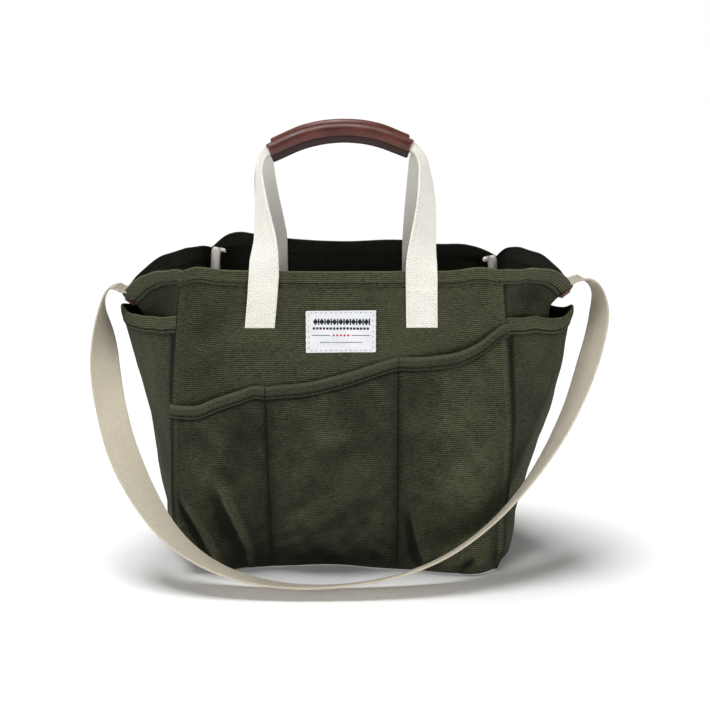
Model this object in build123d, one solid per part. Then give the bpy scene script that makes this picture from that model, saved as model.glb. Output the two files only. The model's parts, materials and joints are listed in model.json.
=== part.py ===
from build123d import *
import math
import os

# Garden tool bag: open canvas body with pockets all round, two carry handles with leather
# grips, and a webbing shoulder strap. Sizes are in millimetres. X runs across the bag, Y from
# front to back and Z up. The bag stands on z = 0, centred on the origin, and its shoulder
# strap lies on the ground in front of it.

# Cloth, webbing and leather
CANVAS = 1.5
BASE_CANVAS = 2.4
SEAM_GAP = 0.3
WEB_WIDTH = 32.0
WEB = 2.4
TAPE = 2.2
TAPE_WIDTH = 9.0
LEATHER = 2.0

# Body: the outline of the bag at each level, from the ground up
HALF_DEPTH = 82.5
RIM_Z = 314.0
RIM_HALF_WIDTH = 157.0
TIP_Z = 284.0
TIP_REACH = 231.0
LEVELS = [0, 50, 105, 158, 215, 256, TIP_Z, RIM_Z]
HALF_WIDTHS = [147, 158, 165, 168, 166, 162, 159.5, RIM_HALF_WIDTH]
FOLD_REACHES = [158, 176, 186, 192, 200, 208, TIP_REACH, TIP_REACH]
FOLD_HALVES = [5, 5, 5, 5, 8, 14, 18, 18]

# Side pockets: a sleeve round each gusset, open below the rim
SIDE_LEVELS = [1, 50, 105, 158, 215, 266]
SIDE_REACHES = [162, 189, 203, 214, 223, 232]
SIDE_FOLD_HALF = 8.0
SIDE_MOUTH_Z = 266.0
SIDE_MOUTH_DROP = 7.0

# Front pocket: three bays under a sloping bound edge; the back pocket is the same piece
POCKET_GAP = 1.3
POCKET_BULGE = 14.0
BULGE_FULL_Z = 130.0
POCKET_LEVELS = [1, 45, 90, BULGE_FULL_Z, 200, 275]
DIVIDERS = [-77.0, 56.0]
MOUTH_HEIGHTS = [177.0, 197.5, 226.0, 259.0]
MOUTH_SAG = 5.0
BINDING_DEPTH = 13.0
BINDING_SKIN = 0.8

# Label
LABEL_WIDTH = 70.0
LABEL_HEIGHT = 42.0
LABEL_Z = 254.0
LABEL_THICK = 0.8

# Carry handles: each loop lies in a plane that leans in over the bag
HANDLE_X = 80.0
ANCHOR_BOTTOM = 258.0
ANCHOR_TOP = 311.0
FRONT_HINGE_Z = RIM_Z + 1
BACK_HINGE_Z = RIM_Z + 3
FRONT_HINGE_Y = -(HALF_DEPTH + SEAM_GAP + WEB / 2)
BACK_HINGE_Y = HALF_DEPTH - CANVAS - SEAM_GAP - WEB / 2
FRONT_LEAN = 29.4
BACK_LEAN = 26.0
FRONT_LOOP_HEIGHT = 147.0
BACK_LOOP_HEIGHT = 153.0
GRIP_HALF_CHORD = 70.5
GRIP_SAGITTA = 20.0
GRIP_RADIUS = 7.5
CORE_RADIUS = 5.0
FLANGE_DROP = 15.5
FLANGE_THICK = 4.4

# Shoulder strap: hangs in a plane that leans forward from the side tips to the ground
STRAP_PIVOT_Z = 288.0
STRAP_LEAN = 26.5


def at_level(values, levels, z):
    """Value at height z of a profile given at levels, by straight lines between them."""
    for low, high, a, b in zip(levels, levels[1:], values, values[1:]):
        if z <= high:
            return a + (b - a) * (z - low) / (high - low)
    return values[-1]


def inward_normal(a, b):
    length = math.dist(a, b)
    return (-(b[1] - a[1]) / length, (b[0] - a[0]) / length)


def mitred(points, offset):
    """Closed outline moved inwards by offset. The points run anticlockwise."""
    moved = []
    for before, here, after in zip(points[-1:] + points[:-1], points, points[1:] + points[:1]):
        n1 = inward_normal(before, here)
        n2 = inward_normal(here, after)
        scale = offset / (1 + n1[0] * n2[0] + n1[1] * n2[1])
        moved.append((here[0] + (n1[0] + n2[0]) * scale, here[1] + (n1[1] + n2[1]) * scale))
    return moved


def between(a, b, distance):
    """Point at a distance from a on the way to b."""
    share = distance / math.dist(a, b)
    return tuple(p + (q - p) * share for p, q in zip(a, b))


def body_ring(z):
    """Outside of the bag at height z, anticlockwise from the front left corner."""
    width = at_level(HALF_WIDTHS, LEVELS, z)
    reach = at_level(FOLD_REACHES, LEVELS, z)
    fold = at_level(FOLD_HALVES, LEVELS, z)
    return [(-width, -HALF_DEPTH), (width, -HALF_DEPTH), (reach, -fold), (reach, fold),
            (width, HALF_DEPTH), (-width, HALF_DEPTH), (-reach, fold), (-reach, -fold)]


def flat_face(points, z):
    return make_face(Polyline(*[(x, y, z) for x, y in points], close=True))


def band(section, levels):
    """Wall whose flat section is known at each level."""
    return loft([flat_face(section(z), z) for z in levels], ruled=True)


def under(points):
    """Block of all that lies inside an outline in the XZ plane, through the whole depth."""
    outline = make_face(Polyline(*[(x, 0, z) for x, z in points], close=True))
    return extrude(outline, amount=2 * HALF_DEPTH, both=True)


def front_panel():
    def section(z):
        outer = body_ring(z)[:2]
        inner = mitred(body_ring(z), CANVAS)[:2]
        return [outer[0], outer[1], inner[1], inner[0]]
    return band(section, LEVELS)


def right_gusset():
    def section(z):
        outer = body_ring(z)[1:5]
        inner = mitred(body_ring(z), CANVAS)[1:5]
        for line in (outer, inner):
            line[0] = between(line[0], line[1], SEAM_GAP)
            line[-1] = between(line[-1], line[-2], SEAM_GAP)
        return outer + inner[::-1]
    shoulder = (RIM_HALF_WIDTH + 24, RIM_Z - 3)
    rim = [(RIM_HALF_WIDTH - 10, RIM_Z), shoulder, (TIP_REACH - 14, TIP_Z + 8), (TIP_REACH + 1, TIP_Z)]
    return band(section, LEVELS) & under([(RIM_HALF_WIDTH - 30, -1), (RIM_HALF_WIDTH - 30, RIM_Z)] + rim
                                         + [(TIP_REACH + 1, -1)])


def base_panel():
    outline = mitred(body_ring(0), CANVAS + 2 * SEAM_GAP)
    return extrude(flat_face(outline, 0), amount=BASE_CANVAS)


def right_side_pocket():
    def section(z):
        corner, fold_front = body_ring(z)[1:3]
        reach = at_level(SIDE_REACHES, SIDE_LEVELS, z)
        out = inward_normal(fold_front, corner)
        lines = []
        for lift in (SEAM_GAP + CANVAS, SEAM_GAP):
            x, y = between(corner, fold_front, SEAM_GAP)
            start = (x + out[0] * lift, y + out[1] * lift)
            tip = reach + lift - CANVAS - SEAM_GAP
            lines.append([start, (tip, -SIDE_FOLD_HALF), (tip, SIDE_FOLD_HALF), (start[0], -start[1])])
        return lines[0] + lines[1][::-1]
    reach = max(SIDE_REACHES) + 10
    low = SIDE_MOUTH_Z - SIDE_MOUTH_DROP
    keep = under([(100, -1), (100, SIDE_MOUTH_Z), (max(HALF_WIDTHS), SIDE_MOUTH_Z),
                  (max(SIDE_REACHES), low), (reach, low), (reach, -1)])
    return band(section, SIDE_LEVELS) & keep


def pocket_bays(z):
    """Ends of the three pocket bays at height z."""
    width = at_level(HALF_WIDTHS, LEVELS, z) - 1
    return list(zip([-width] + DIVIDERS, DIVIDERS + [width]))


def pocket_band(skin):
    """Pocket cloth from the ground to above its mouth; skin thickens it on both sides."""
    def section(z):
        bulge = POCKET_BULGE * min(1, z / BULGE_FULL_Z)
        face = -HALF_DEPTH - POCKET_GAP
        line = []
        for left, right in pocket_bays(z):
            for share, depth in ((0, 0), (0.2, 0.75), (0.5, 1), (0.8, 0.75)):
                line.append((left + (right - left) * share, face - bulge * depth))
        line.append((right, face))
        front = [(x, y - CANVAS - skin) for x, y in line]
        back = [(x, y + skin) for x, y in line]
        return front + back[::-1]
    return band(section, POCKET_LEVELS)


def mouth_line(drop):
    """Sloping top edge of the pocket, sagging between the dividers, lowered by drop."""
    xs = [-max(HALF_WIDTHS)] + DIVIDERS + [max(HALF_WIDTHS)]
    points = []
    for x0, x1, z0, z1 in zip(xs, xs[1:], MOUTH_HEIGHTS, MOUTH_HEIGHTS[1:]):
        for step in range(4):
            share = step / 4
            sag = MOUTH_SAG * 4 * share * (1 - share)
            points.append((x0 + (x1 - x0) * share, z0 + (z1 - z0) * share - sag - drop))
    return points + [(xs[-1], MOUTH_HEIGHTS[-1] - drop)]


def front_pocket():
    top = mouth_line(BINDING_DEPTH + SEAM_GAP)
    return pocket_band(0) & under(top + [(top[-1][0], -1), (top[0][0], -1)])


def front_pocket_binding():
    top = mouth_line(0)
    return pocket_band(BINDING_SKIN) & under(top + mouth_line(BINDING_DEPTH)[::-1])


def label():
    y = -(HALF_DEPTH + SEAM_GAP + LABEL_THICK / 2)
    return Pos(0, y, LABEL_Z) * Box(LABEL_WIDTH, LABEL_THICK, LABEL_HEIGHT)


def right_seam_binding():
    """Tape that closes the seam between the right gusset and the rest: two legs and a base run."""
    floor = BASE_CANVAS + SEAM_GAP

    def section(z):
        x, y = mitred(body_ring(z), CANVAS + SEAM_GAP + TAPE / 2)[1]
        run = TAPE_WIDTH / math.sqrt(2)
        half = TAPE / 2 / math.sqrt(2)
        return [(x - half, y - half), (x + half, y + half),
                (x - run + half, y + run + half), (x - run - half, y + run - half)]
    leg = band(section, [floor] + LEVELS[1:-1] + [RIM_Z - 1])
    outer = mitred(body_ring(0), CANVAS + SEAM_GAP + TAPE / 2)[1:5]
    inner = mitred(body_ring(0), CANVAS + SEAM_GAP + TAPE / 2 + TAPE_WIDTH)[1:5]
    run = extrude(flat_face(outer + inner[::-1], floor), amount=TAPE)
    return leg + run + mirror(leg, about=Plane.XZ)


def web_face(point, along, across, width, thick):
    """Cross-section of a strap: width runs across, thickness is square to both directions."""
    return Plane(origin=point, x_dir=across, z_dir=along) * Rectangle(width, thick)


def front_anchor(x):
    height = ANCHOR_TOP - ANCHOR_BOTTOM
    return Pos(x, FRONT_HINGE_Y, ANCHOR_BOTTOM + height / 2) * Box(WEB_WIDTH, WEB, height)


def back_anchor(x):
    height = BACK_HINGE_Z - 1 - ANCHOR_BOTTOM
    return Pos(x, BACK_HINGE_Y, ANCHOR_BOTTOM + height / 2) * Box(WEB_WIDTH, WEB, height)


def grip_arc(height):
    """Centre line of the grip in the loop's own upright plane."""
    end = height - GRIP_SAGITTA
    return ThreePointArc((-GRIP_HALF_CHORD, 0, end), (0, 0, height), (GRIP_HALF_CHORD, 0, end))


def handle_leg(height):
    """Right leg of a loop: flat at the rim, turning edge-on and narrowing into the grip."""
    end = height - GRIP_SAGITTA
    arc = grip_arc(height)
    tangent = arc % 1
    stations = [(HANDLE_X, 1.5, 0, WEB_WIDTH, WEB, (0, 0, 1)),
                (HANDLE_X, 30, 12, WEB_WIDTH - 1, WEB, (0, 0, 1)),
                (HANDLE_X - 1, 60, 40, WEB_WIDTH - 4, WEB, (0, 0, 1)),
                (HANDLE_X - 2, 90, 70, 18, 4, (-0.1, 0, 1)),
                (HANDLE_X - 4, end - 14, 90, 11, 5, (-0.4, 0, 1)),
                (GRIP_HALF_CHORD, end, 90, 8, 6, (-tangent.X, 0, -tangent.Z))]
    faces = []
    for x, z, turn, width, thick, along in stations:
        a = math.radians(turn)
        side = Vector(along).normalized().cross(Vector(0, 1, 0))
        across = side * math.cos(a) + Vector(0, 1, 0) * math.sin(a)
        faces.append(web_face((x, 0, z), along, across, width, thick))
    return loft(faces, ruled=True)


def webbing_loop(height):
    leg = handle_leg(height)
    arc = grip_arc(height)
    core = sweep(Plane(origin=arc @ 0, z_dir=arc % 0) * Circle(CORE_RADIUS), path=arc)
    return leg + core + mirror(leg, about=Plane.YZ)


def grip(height):
    """Leather wrapped round the webbing, with its two edges sewn together into a flange below."""
    arc = grip_arc(height)
    frame = Plane(origin=arc @ 0, x_dir=(0, 1, 0), z_dir=arc % 0)
    down = 1 if frame.y_dir.Z < 0 else -1
    flange = Pos(0, down * FLANGE_DROP / 2) * Rectangle(FLANGE_THICK, FLANGE_DROP)
    skin = Circle(GRIP_RADIUS) + flange - Circle(CORE_RADIUS + SEAM_GAP)
    return sweep(frame * skin, path=arc)


def on_front_hinge(solid):
    return Pos(0, FRONT_HINGE_Y, FRONT_HINGE_Z) * Rot(X=-FRONT_LEAN) * solid


def on_back_hinge(solid):
    return Pos(0, BACK_HINGE_Y, BACK_HINGE_Z) * Rot(X=BACK_LEAN) * solid


def right_strap_end():
    """Sewn end of the shoulder strap: up the inside of the gusset's fold and over its rim."""
    slope = (TIP_REACH - FOLD_REACHES[5], 0, TIP_Z - LEVELS[5])
    inset = CANVAS + SEAM_GAP + WEB
    stations = [(FOLD_REACHES[5] - inset - 1.5, LEVELS[5] - 1, slope),
                (TIP_REACH - inset - 6.5, TIP_Z - 4, slope),
                (TIP_REACH - inset - 2, TIP_Z + 1.5, (1, 0, 1.5)),
                (TIP_REACH - 1, STRAP_PIVOT_Z, (1, 0, 0)),
                (TIP_REACH + 2, STRAP_PIVOT_Z, (1, 0, 0))]
    return loft([web_face((x, 0, z), along, (0, 1, 0), WEB_WIDTH, WEB) for x, z, along in stations], ruled=True)


def right_leather_tab():
    """Leather patch on the outside of the gusset's fold, under the strap."""
    slope = (TIP_REACH - FOLD_REACHES[5], 0, TIP_Z - LEVELS[5])
    out = LEATHER / 2 + SEAM_GAP + 0.8
    stations = [(FOLD_REACHES[5] + 6 + out, LEVELS[5] + 7), (TIP_REACH - 1 + out, TIP_Z - 2)]
    return loft([web_face((x, 0, z), slope, (0, 1, 0), WEB_WIDTH + 2, LEATHER) for x, z in stations], ruled=True)


def strap_route():
    """The strap's centre line in its own plane: across the bag, and down the slope."""
    start = TIP_REACH + 3
    return Spline((-start, 0, 0), (-242, 0, -3), (-246.5, 0, -13), (-247, 0, -50), (-245, 0, -105),
                  (-218, 0, -190), (-155, 0, -285), (-62, 0, -312), (72, 0, -296), (158, 0, -246),
                  (230, 0, -153), (262, 0, -50), (260, 0, -16), (249, 0, -2), (start, 0, 0),
                  tangents=[(-1, 0, 0), (-1, 0, 0)], tangent_scalars=[0.1, 0.1])


def strap_turn(share):
    """How far the strap has turned its inner face forward, in degrees, along its length."""
    stations = [0, 0.03, 0.08, 0.14, 0.19, 0.26, 0.35, 0.45, 0.72, 0.85, 0.93, 0.97, 1]
    turns = [-STRAP_LEAN, 12, 56, 86, 50, 26, 14, 5, 6, 32, 34, 6, -STRAP_LEAN]
    return at_level(turns, stations, share)


def corners(point, along, across, width, thick):
    """Four corners of a strap's cross-section, in order round it."""
    normal = along.cross(across)
    signs = [(-1, -1), (1, -1), (1, 1), (-1, 1)]
    return [point + across * (width / 2 * u) + normal * (thick / 2 * v) for u, v in signs]


def faceted(sections):
    """Closed solid through a row of four-cornered sections, in flat triangles."""
    triangles = []
    for here, there in zip(sections, sections[1:]):
        for i in range(4):
            j = (i + 1) % 4
            triangles += [(here[i], here[j], there[j]), (here[i], there[j], there[i])]
    for cap in (sections[0], sections[-1]):
        triangles += [(cap[0], cap[1], cap[2]), (cap[0], cap[2], cap[3])]
    faces = [Face(Wire.make_polygon(points)) for points in triangles]
    return Solid(Shell(faces))


def shoulder_strap():
    route = strap_route()
    steps = 60
    sections = []
    for step in range(steps + 1):
        even = step / steps
        share = even - math.sin(2 * math.pi * even) / (2.5 * math.pi)
        along = route % share
        outward = Vector(along.Z, 0, -along.X)
        a = math.radians(strap_turn(share))
        across = Vector(0, 1, 0) * math.cos(a) - outward * math.sin(a)
        sections.append(corners(route @ share, along, across, WEB_WIDTH, WEB))
    return Pos(0, 0, STRAP_PIVOT_Z) * Rot(X=-STRAP_LEAN) * faceted(sections)


def save(name, solid):
    export_step(solid, "parts/" + name + ".step")
    box = solid.bounding_box()
    print(name, [round(v, 1) for v in (*box.min, *box.max)], "volume", round(solid.volume))


def main():
    os.makedirs("parts", exist_ok=True)
    half_turn = Rot(Z=180)
    save("front_panel", front_panel())
    save("back_panel", half_turn * front_panel())
    save("base_panel", base_panel())
    gusset = right_gusset()
    save("right_gusset", gusset)
    save("left_gusset", half_turn * gusset)
    side_pocket = right_side_pocket()
    save("right_side_pocket", side_pocket)
    save("left_side_pocket", half_turn * side_pocket)
    pocket = front_pocket()
    save("front_pocket", pocket)
    save("back_pocket", half_turn * pocket)
    binding = front_pocket_binding()
    save("front_pocket_binding", binding)
    save("back_pocket_binding", half_turn * binding)
    save("label", label())
    save("front_handle_anchor_right", front_anchor(HANDLE_X))
    save("front_handle_anchor_left", front_anchor(-HANDLE_X))
    save("back_handle_anchor_right", back_anchor(HANDLE_X))
    save("back_handle_anchor_left", back_anchor(-HANDLE_X))
    save("front_handle_webbing", on_front_hinge(webbing_loop(FRONT_LOOP_HEIGHT)))
    save("front_grip", on_front_hinge(grip(FRONT_LOOP_HEIGHT)))
    save("back_handle_webbing", on_back_hinge(webbing_loop(BACK_LOOP_HEIGHT)))
    save("back_grip", on_back_hinge(grip(BACK_LOOP_HEIGHT)))
    strap_end = right_strap_end()
    save("right_strap_end", strap_end)
    save("left_strap_end", half_turn * strap_end)
    seam_binding = right_seam_binding()
    save("right_seam_binding", seam_binding)
    save("left_seam_binding", half_turn * seam_binding)
    tab = right_leather_tab()
    save("right_leather_tab", tab)
    save("left_leather_tab", half_turn * tab)
    save("shoulder_strap", shoulder_strap())


main()
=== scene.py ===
import json
import math
import bpy
import numpy as np
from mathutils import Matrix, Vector, noise


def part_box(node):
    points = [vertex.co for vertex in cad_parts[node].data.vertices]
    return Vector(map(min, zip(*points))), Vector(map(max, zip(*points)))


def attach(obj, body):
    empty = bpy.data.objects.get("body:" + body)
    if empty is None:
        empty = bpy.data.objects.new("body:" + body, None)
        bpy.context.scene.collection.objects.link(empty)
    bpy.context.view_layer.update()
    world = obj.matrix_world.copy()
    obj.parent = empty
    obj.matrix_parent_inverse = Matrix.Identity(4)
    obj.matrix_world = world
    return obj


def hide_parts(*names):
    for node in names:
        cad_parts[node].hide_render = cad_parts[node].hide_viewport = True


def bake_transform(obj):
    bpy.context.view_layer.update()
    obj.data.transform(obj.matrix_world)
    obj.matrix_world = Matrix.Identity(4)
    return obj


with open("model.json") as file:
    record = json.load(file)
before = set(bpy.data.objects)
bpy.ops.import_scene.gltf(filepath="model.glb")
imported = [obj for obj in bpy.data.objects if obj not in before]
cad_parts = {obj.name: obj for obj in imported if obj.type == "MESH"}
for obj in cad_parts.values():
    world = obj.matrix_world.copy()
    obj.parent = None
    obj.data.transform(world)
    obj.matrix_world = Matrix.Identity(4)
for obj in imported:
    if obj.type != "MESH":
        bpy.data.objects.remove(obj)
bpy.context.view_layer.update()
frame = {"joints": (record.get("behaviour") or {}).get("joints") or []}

# A canvas garden tool bag. Lengths are in millimetres until a mesh is made, X across the bag,
# Y from front to back, Z up. "lift" is always a distance out from a cloth's own surface.
MM = 0.001


def node_box(node):
    low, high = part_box(node)
    return np.array(low) / MM, np.array(high) / MM


# Places taken from the frame
FRONT_LOW, FRONT_HIGH = node_box("front_panel")
FRONT_Y = FRONT_LOW[1]
BACK_Y = node_box("back_panel")[1][1]
RIM_Z = FRONT_HIGH[2]
JOINTS = {joint["name"]: joint for joint in frame["joints"]}
FRONT_HINGE = np.array(JOINTS["front_handle_swing"]["pos_m"]) / MM
BACK_HINGE = np.array(JOINTS["back_handle_swing"]["pos_m"]) / MM
STRAP_PIVOT_Z = JOINTS["shoulder_strap_swing"]["pos_m"][2] / MM
LABEL_LOW, LABEL_HIGH = node_box("label")

# Cloth
CANVAS = 1.3
HEM = 14.5
SIDE_HEM = 17.0
HEM_GAP = 1.5
CORNER = 3.0
TUCK = 4.0
CORNER_ARC = CORNER * math.pi / 2
STITCH = 4.4
WEB_WIDTH = 31.0
WEB_THICK = 2.1
FOOT_Z = 1.2
OUT_FRONT = np.array([0.0, -1.0, 0.0])
HEM_DROPS = np.array([0.12, 0.3, 0.5, 0.68, 0.78, 0.88, 1.0])
HEM_STITCHES = 0.78
FOLD_ROWS = 5


# ---------------------------------------------------------------- curves and surfaces

def hermite(s, step, start, end, start_slope, end_slope):
    """Cubic from one value to the next, at share s of the step between them."""
    first = (1 + 2 * s) * (1 - s) ** 2 * start + s * (1 - s) ** 2 * step * start_slope
    return first + s * s * (3 - 2 * s) * end + s * s * (s - 1) * step * end_slope


def smooth(keys, values):
    """Smooth curve through values given at rising keys; it takes single keys or arrays of them."""
    keys = np.array(keys, float)
    values = np.array(values, float)
    slopes = np.gradient(values, keys, axis=0)

    def at(t):
        t = np.clip(np.asarray(t, float), keys[0], keys[-1])
        i = np.clip(np.searchsorted(keys, t, side="right") - 1, 0, len(keys) - 2)
        step = keys[i + 1] - keys[i]
        s = (t - keys[i]) / step
        if values.ndim > 1:
            s = s[..., None]
            step = step[..., None]
        return hermite(s, step, values[i], values[i + 1], slopes[i], slopes[i + 1])
    return at


def through(rows):
    """Smooth curve through rows of a key and the value, or values, there."""
    values = [row[1] if len(row) == 2 else row[1:] for row in rows]
    return smooth([row[0] for row in rows], values)


def unit(vectors):
    return vectors / np.maximum(np.linalg.norm(vectors, axis=-1, keepdims=True), 1e-9)


def ease(t):
    t = np.clip(t, 0, 1)
    return t * t * (3 - 2 * t)


def runs_between(stops, counts):
    """Rising numbers through the stops, with a count of even steps from each stop to the next."""
    runs = [np.linspace(a, b, count)[:-1] for a, b, count in zip(stops, stops[1:], counts)]
    return np.concatenate([*runs, [stops[-1]]])


def stack(*parts):
    return np.stack(np.broadcast_arrays(*parts), axis=-1)


def relief(x, z, folds):
    """Sum of soft ridges and dents, each along a short line: (from, to, width, height)."""
    total = np.zeros(np.broadcast(x, z).shape)
    for (x0, z0), (x1, z1), width, height in folds:
        dx, dz = x1 - x0, z1 - z0
        share = np.clip(((x - x0) * dx + (z - z0) * dz) / (dx * dx + dz * dz), 0, 1)
        gap = np.hypot(x - x0 - share * dx, z - z0 - share * dz)
        total = total + height * np.exp(-(gap / width) ** 2)
    return total


def ripple(points, size, amount, seed=0.0):
    """Uneven cloth: smooth noise of a given size and height at each point of a grid."""
    flat = points.reshape(-1, 3)
    values = [noise.noise(Vector((p[0] / size + seed, p[1] / size, p[2] / size))) for p in flat]
    return amount * np.array(values).reshape(points.shape[:-1])


def grid_normals(points, outward):
    """Unit normal at each point of a grid, on the side that outward points to."""
    across = np.gradient(points, axis=1)
    up = np.gradient(points, axis=0)
    normals = unit(np.cross(across, up))
    side = np.sign(np.sum(normals * outward, axis=-1, keepdims=True))
    return normals * np.where(side == 0, 1, side)


def turned(points, back=True):
    """Half a turn about the upright axis, for the pieces at the back."""
    return points * np.array([-1.0, -1.0, 1.0]) if back else points


def travel(points):
    """Distance travelled at each point of a row of points."""
    return np.concatenate([[0], np.cumsum(np.linalg.norm(np.diff(points, axis=0), axis=1))])


# ---------------------------------------------------------------- meshes

def new_object(name, vertices, faces, material, uvs=None):
    mesh = bpy.data.meshes.new(name)
    mesh.from_pydata([tuple(v) for v in np.asarray(vertices, float) * MM], [], faces)
    if uvs is not None:
        layer = mesh.uv_layers.new(name="weave")
        loops = np.zeros(len(mesh.loops), int)
        mesh.loops.foreach_get("vertex_index", loops)
        layer.data.foreach_set("uv", (np.asarray(uvs, float)[loops] * MM).ravel())
    mesh.materials.append(material)
    mesh.polygons.foreach_set("use_smooth", [True] * len(mesh.polygons))
    mesh.update()
    obj = bpy.data.objects.new(name, mesh)
    bpy.context.collection.objects.link(obj)
    return obj


def grid_faces(rows, columns, ring=False):
    faces = []
    for r in range(rows - 1):
        for c in range(columns if ring else columns - 1):
            d = (c + 1) % columns
            faces.append((r * columns + c, r * columns + d, (r + 1) * columns + d, (r + 1) * columns + c))
    return faces


def add_shade(obj, name, values):
    attribute = obj.data.attributes.new(name, "FLOAT", "POINT")
    attribute.data.foreach_set("value", np.asarray(values, np.float32).ravel())


def creases(points, normals, reach, depth):
    """How far each point of a grid lies below those around it, from 1 at the bottom of a fold to -1 on a
    ridge; this sets painted shade in folds and painted highlight on ridges.
    """
    rows, columns = points.shape[:2]
    r = np.arange(rows)
    c = np.arange(columns)
    above_below = points[np.clip(r - reach, 0, rows - 1)] + points[np.clip(r + reach, 0, rows - 1)]
    beside = points[:, np.clip(c - reach, 0, columns - 1)] + points[:, np.clip(c + reach, 0, columns - 1)]
    around = (above_below + beside) / 4
    edge_r = np.minimum(np.minimum(r, rows - 1 - r) / reach, 1)[:, None]
    edge_c = np.minimum(np.minimum(c, columns - 1 - c) / reach, 1)[None, :]
    return np.clip(np.sum((around - points) * normals, axis=-1) / depth, -1, 1) * edge_r * edge_c


def shade_towards_foot(points, top=110.0):
    """Painted shade: the cloth is painted darker towards its foot."""
    return 0.32 * ease((top - points[..., 2]) / top)


def soften(obj):
    soft = obj.modifiers.new("rounding", "SUBSURF")
    soft.levels = 1
    soft.render_levels = 1


def thicken(obj, thickness):
    solid = obj.modifiers.new("thickness", "SOLIDIFY")
    solid.thickness = thickness * MM
    solid.offset = 0
    solid.use_even_offset = False
    soften(obj)


def lengths_along(points, axis):
    """Distance travelled along a grid's rows or columns, for the weave."""
    steps = np.linalg.norm(np.diff(points, axis=axis), axis=-1)
    start = np.zeros_like(np.take(steps, [0], axis=axis))
    return np.cumsum(np.concatenate([start, steps], axis=axis), axis=axis)


def cloth(name, points, material, thickness=CANVAS, wear=None, uvs=None, painted_shading=None):
    """Cloth of real thickness on a grid of points, with its weave running along the grid."""
    rows, columns = points.shape[:2]
    if uvs is None:
        across = lengths_along(points, 1).mean(axis=0)
        up = lengths_along(points, 0).mean(axis=1)
        uvs = stack(across[None, :], up[:, None])
    obj = new_object(name, points.reshape(-1, 3), grid_faces(rows, columns), material, uvs.reshape(-1, 2))
    add_shade(obj, "wear", np.zeros((rows, columns)) if wear is None else wear)
    # Painted shade and painted highlight, carried to the material as a point attribute.
    add_shade(obj, "painted_shading", np.zeros((rows, columns)) if painted_shading is None else painted_shading)
    thicken(obj, thickness)
    return obj


def shade_inner_faces(obj, columns, hem_row, outward):
    """Paints the faces that look into the bag with the darker copy of the canvas, as painted shade; on a hem
    turned outwards the copy goes on the face that lies against the wall.
    """
    obj.data.materials.append(OLIVE_SHADED_INSIDE)
    obj.data.materials.append(OLIVE)
    for polygon in obj.data.polygons:
        hem = polygon.index // (columns - 1) >= hem_row
        polygon.material_index = int(hem == outward)
    obj.modifiers["thickness"].material_offset = 1


def with_hem(values, rows):
    """Shade of a cloth's grid, carried on over its hem, where the sewn line and the edge are dark."""
    hem = np.full((rows - len(values), values.shape[1]), -0.2)
    hem[-3] = 1.1
    hem[-1] = 0.6
    return np.concatenate([values, hem])


def edge_shade(past):
    """Dark line where a wall turns in to its corner seam."""
    return 1.3 * ease((np.abs(past) / CORNER_ARC - 0.15) / 0.4)


def corner_shade(s):
    """Painted shadow where an end wall is sewn in behind the edge of the front or back."""
    return 1.3 * (1 - ease((np.minimum(s, 1 - s) - 0.04) / 0.04))


def under_hem(drops, depth):
    """Shade on the cloth just below a hem's edge."""
    return 0.95 * np.exp(-((drops / depth - 1.03) / 0.08) ** 2)[:, None]


def cut_sheet(points):
    """Works out the widths and lengths that a piece's grid of points unrolls to, and does nothing with them.
    """
    widths = lengths_along(points, 1)[:, -1] * MM
    lengths = lengths_along(points, 0)[-1] * MM


def finish_piece(obj, body, slot, *nodes):
    """Says what a piece rides on and hides the CAD nodes it stands for; its slot argument is not used."""
    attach(obj, body)
    if nodes:
        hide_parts(*nodes)


def hemmed(points, normals, rows, depth):
    """Cloth grid whose top edge is folded outwards and down. rows is each row's height below the top."""
    fold = HEM_GAP / 2
    turns = np.radians([30, 60, 90, 120, 150, 180])
    top = points[-1]
    down = unit(points[-2] - top)
    over = [top + down * fold * (1 - math.sin(a)) + normals[-1] * fold * (1 - math.cos(a)) for a in turns]
    outer = []
    for drop in HEM_DROPS:
        puff = 0.9 * math.sin(math.pi * min(1, drop / HEM_STITCHES)) - (0.7 if drop == HEM_STITCHES else 0)
        i = int(np.argmin(np.abs(rows - drop * depth)))
        outer.append(points[i] + normals[i] * (HEM_GAP + puff))
    inner = [points[i] for i in range(len(rows) - 1)]
    inner.append(top + down * fold)
    return np.array(inner + over + outer)


def hemmed_canvas(name, points, normals, drops, depth, shade, stitches, inset,
                  back=False, hem_out=True, hem_wear=0.55):
    """Canvas with its top edge turned outwards into a hem, and the run of the hem's stitches.
    drops is each row's height below the top, and inset keeps the stitches off the corners."""
    full = turned(hemmed(points, normals, drops, depth), back)
    fold = len(drops)
    wear = np.zeros(full.shape[:2])
    wear[fold:fold + FOLD_ROWS] = hem_wear
    top = drops[0]
    height = np.concatenate([top - drops[:-1], np.linspace(top, top + 5, 7), top + 5 + HEM_DROPS * depth])
    uvs = stack(lengths_along(points, 1).mean(axis=0)[None, :], height[:, None])
    # Painted shade: darker towards the foot, just below the hem's edge and along the hem's sewn line and
    # edge; the rest of the hem painted a little lighter.
    shade = with_hem(shade + shade_towards_foot(points) + under_hem(drops, depth), len(full))
    obj = cloth(name, full, OLIVE, wear=wear, uvs=uvs, painted_shading=shade)
    shade_inner_faces(obj, full.shape[1], fold + 1, hem_out)
    finish_piece(obj, "bag", "canvas", name)
    cut_sheet(full)
    stitches.append((full[-3][inset:-inset], turned(normals[-1], back)[inset:-inset], STITCH))


# ---------------------------------------------------------------- materials

def new_material(name):
    material = bpy.data.materials.new(name)
    material.use_nodes = True
    tree = material.node_tree
    tree.nodes.clear()
    output = tree.nodes.new("ShaderNodeOutputMaterial")
    shader = tree.nodes.new("ShaderNodeBsdfPrincipled")
    tree.links.new(shader.outputs[0], output.inputs[0])
    return material, Nodes(tree), shader


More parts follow.
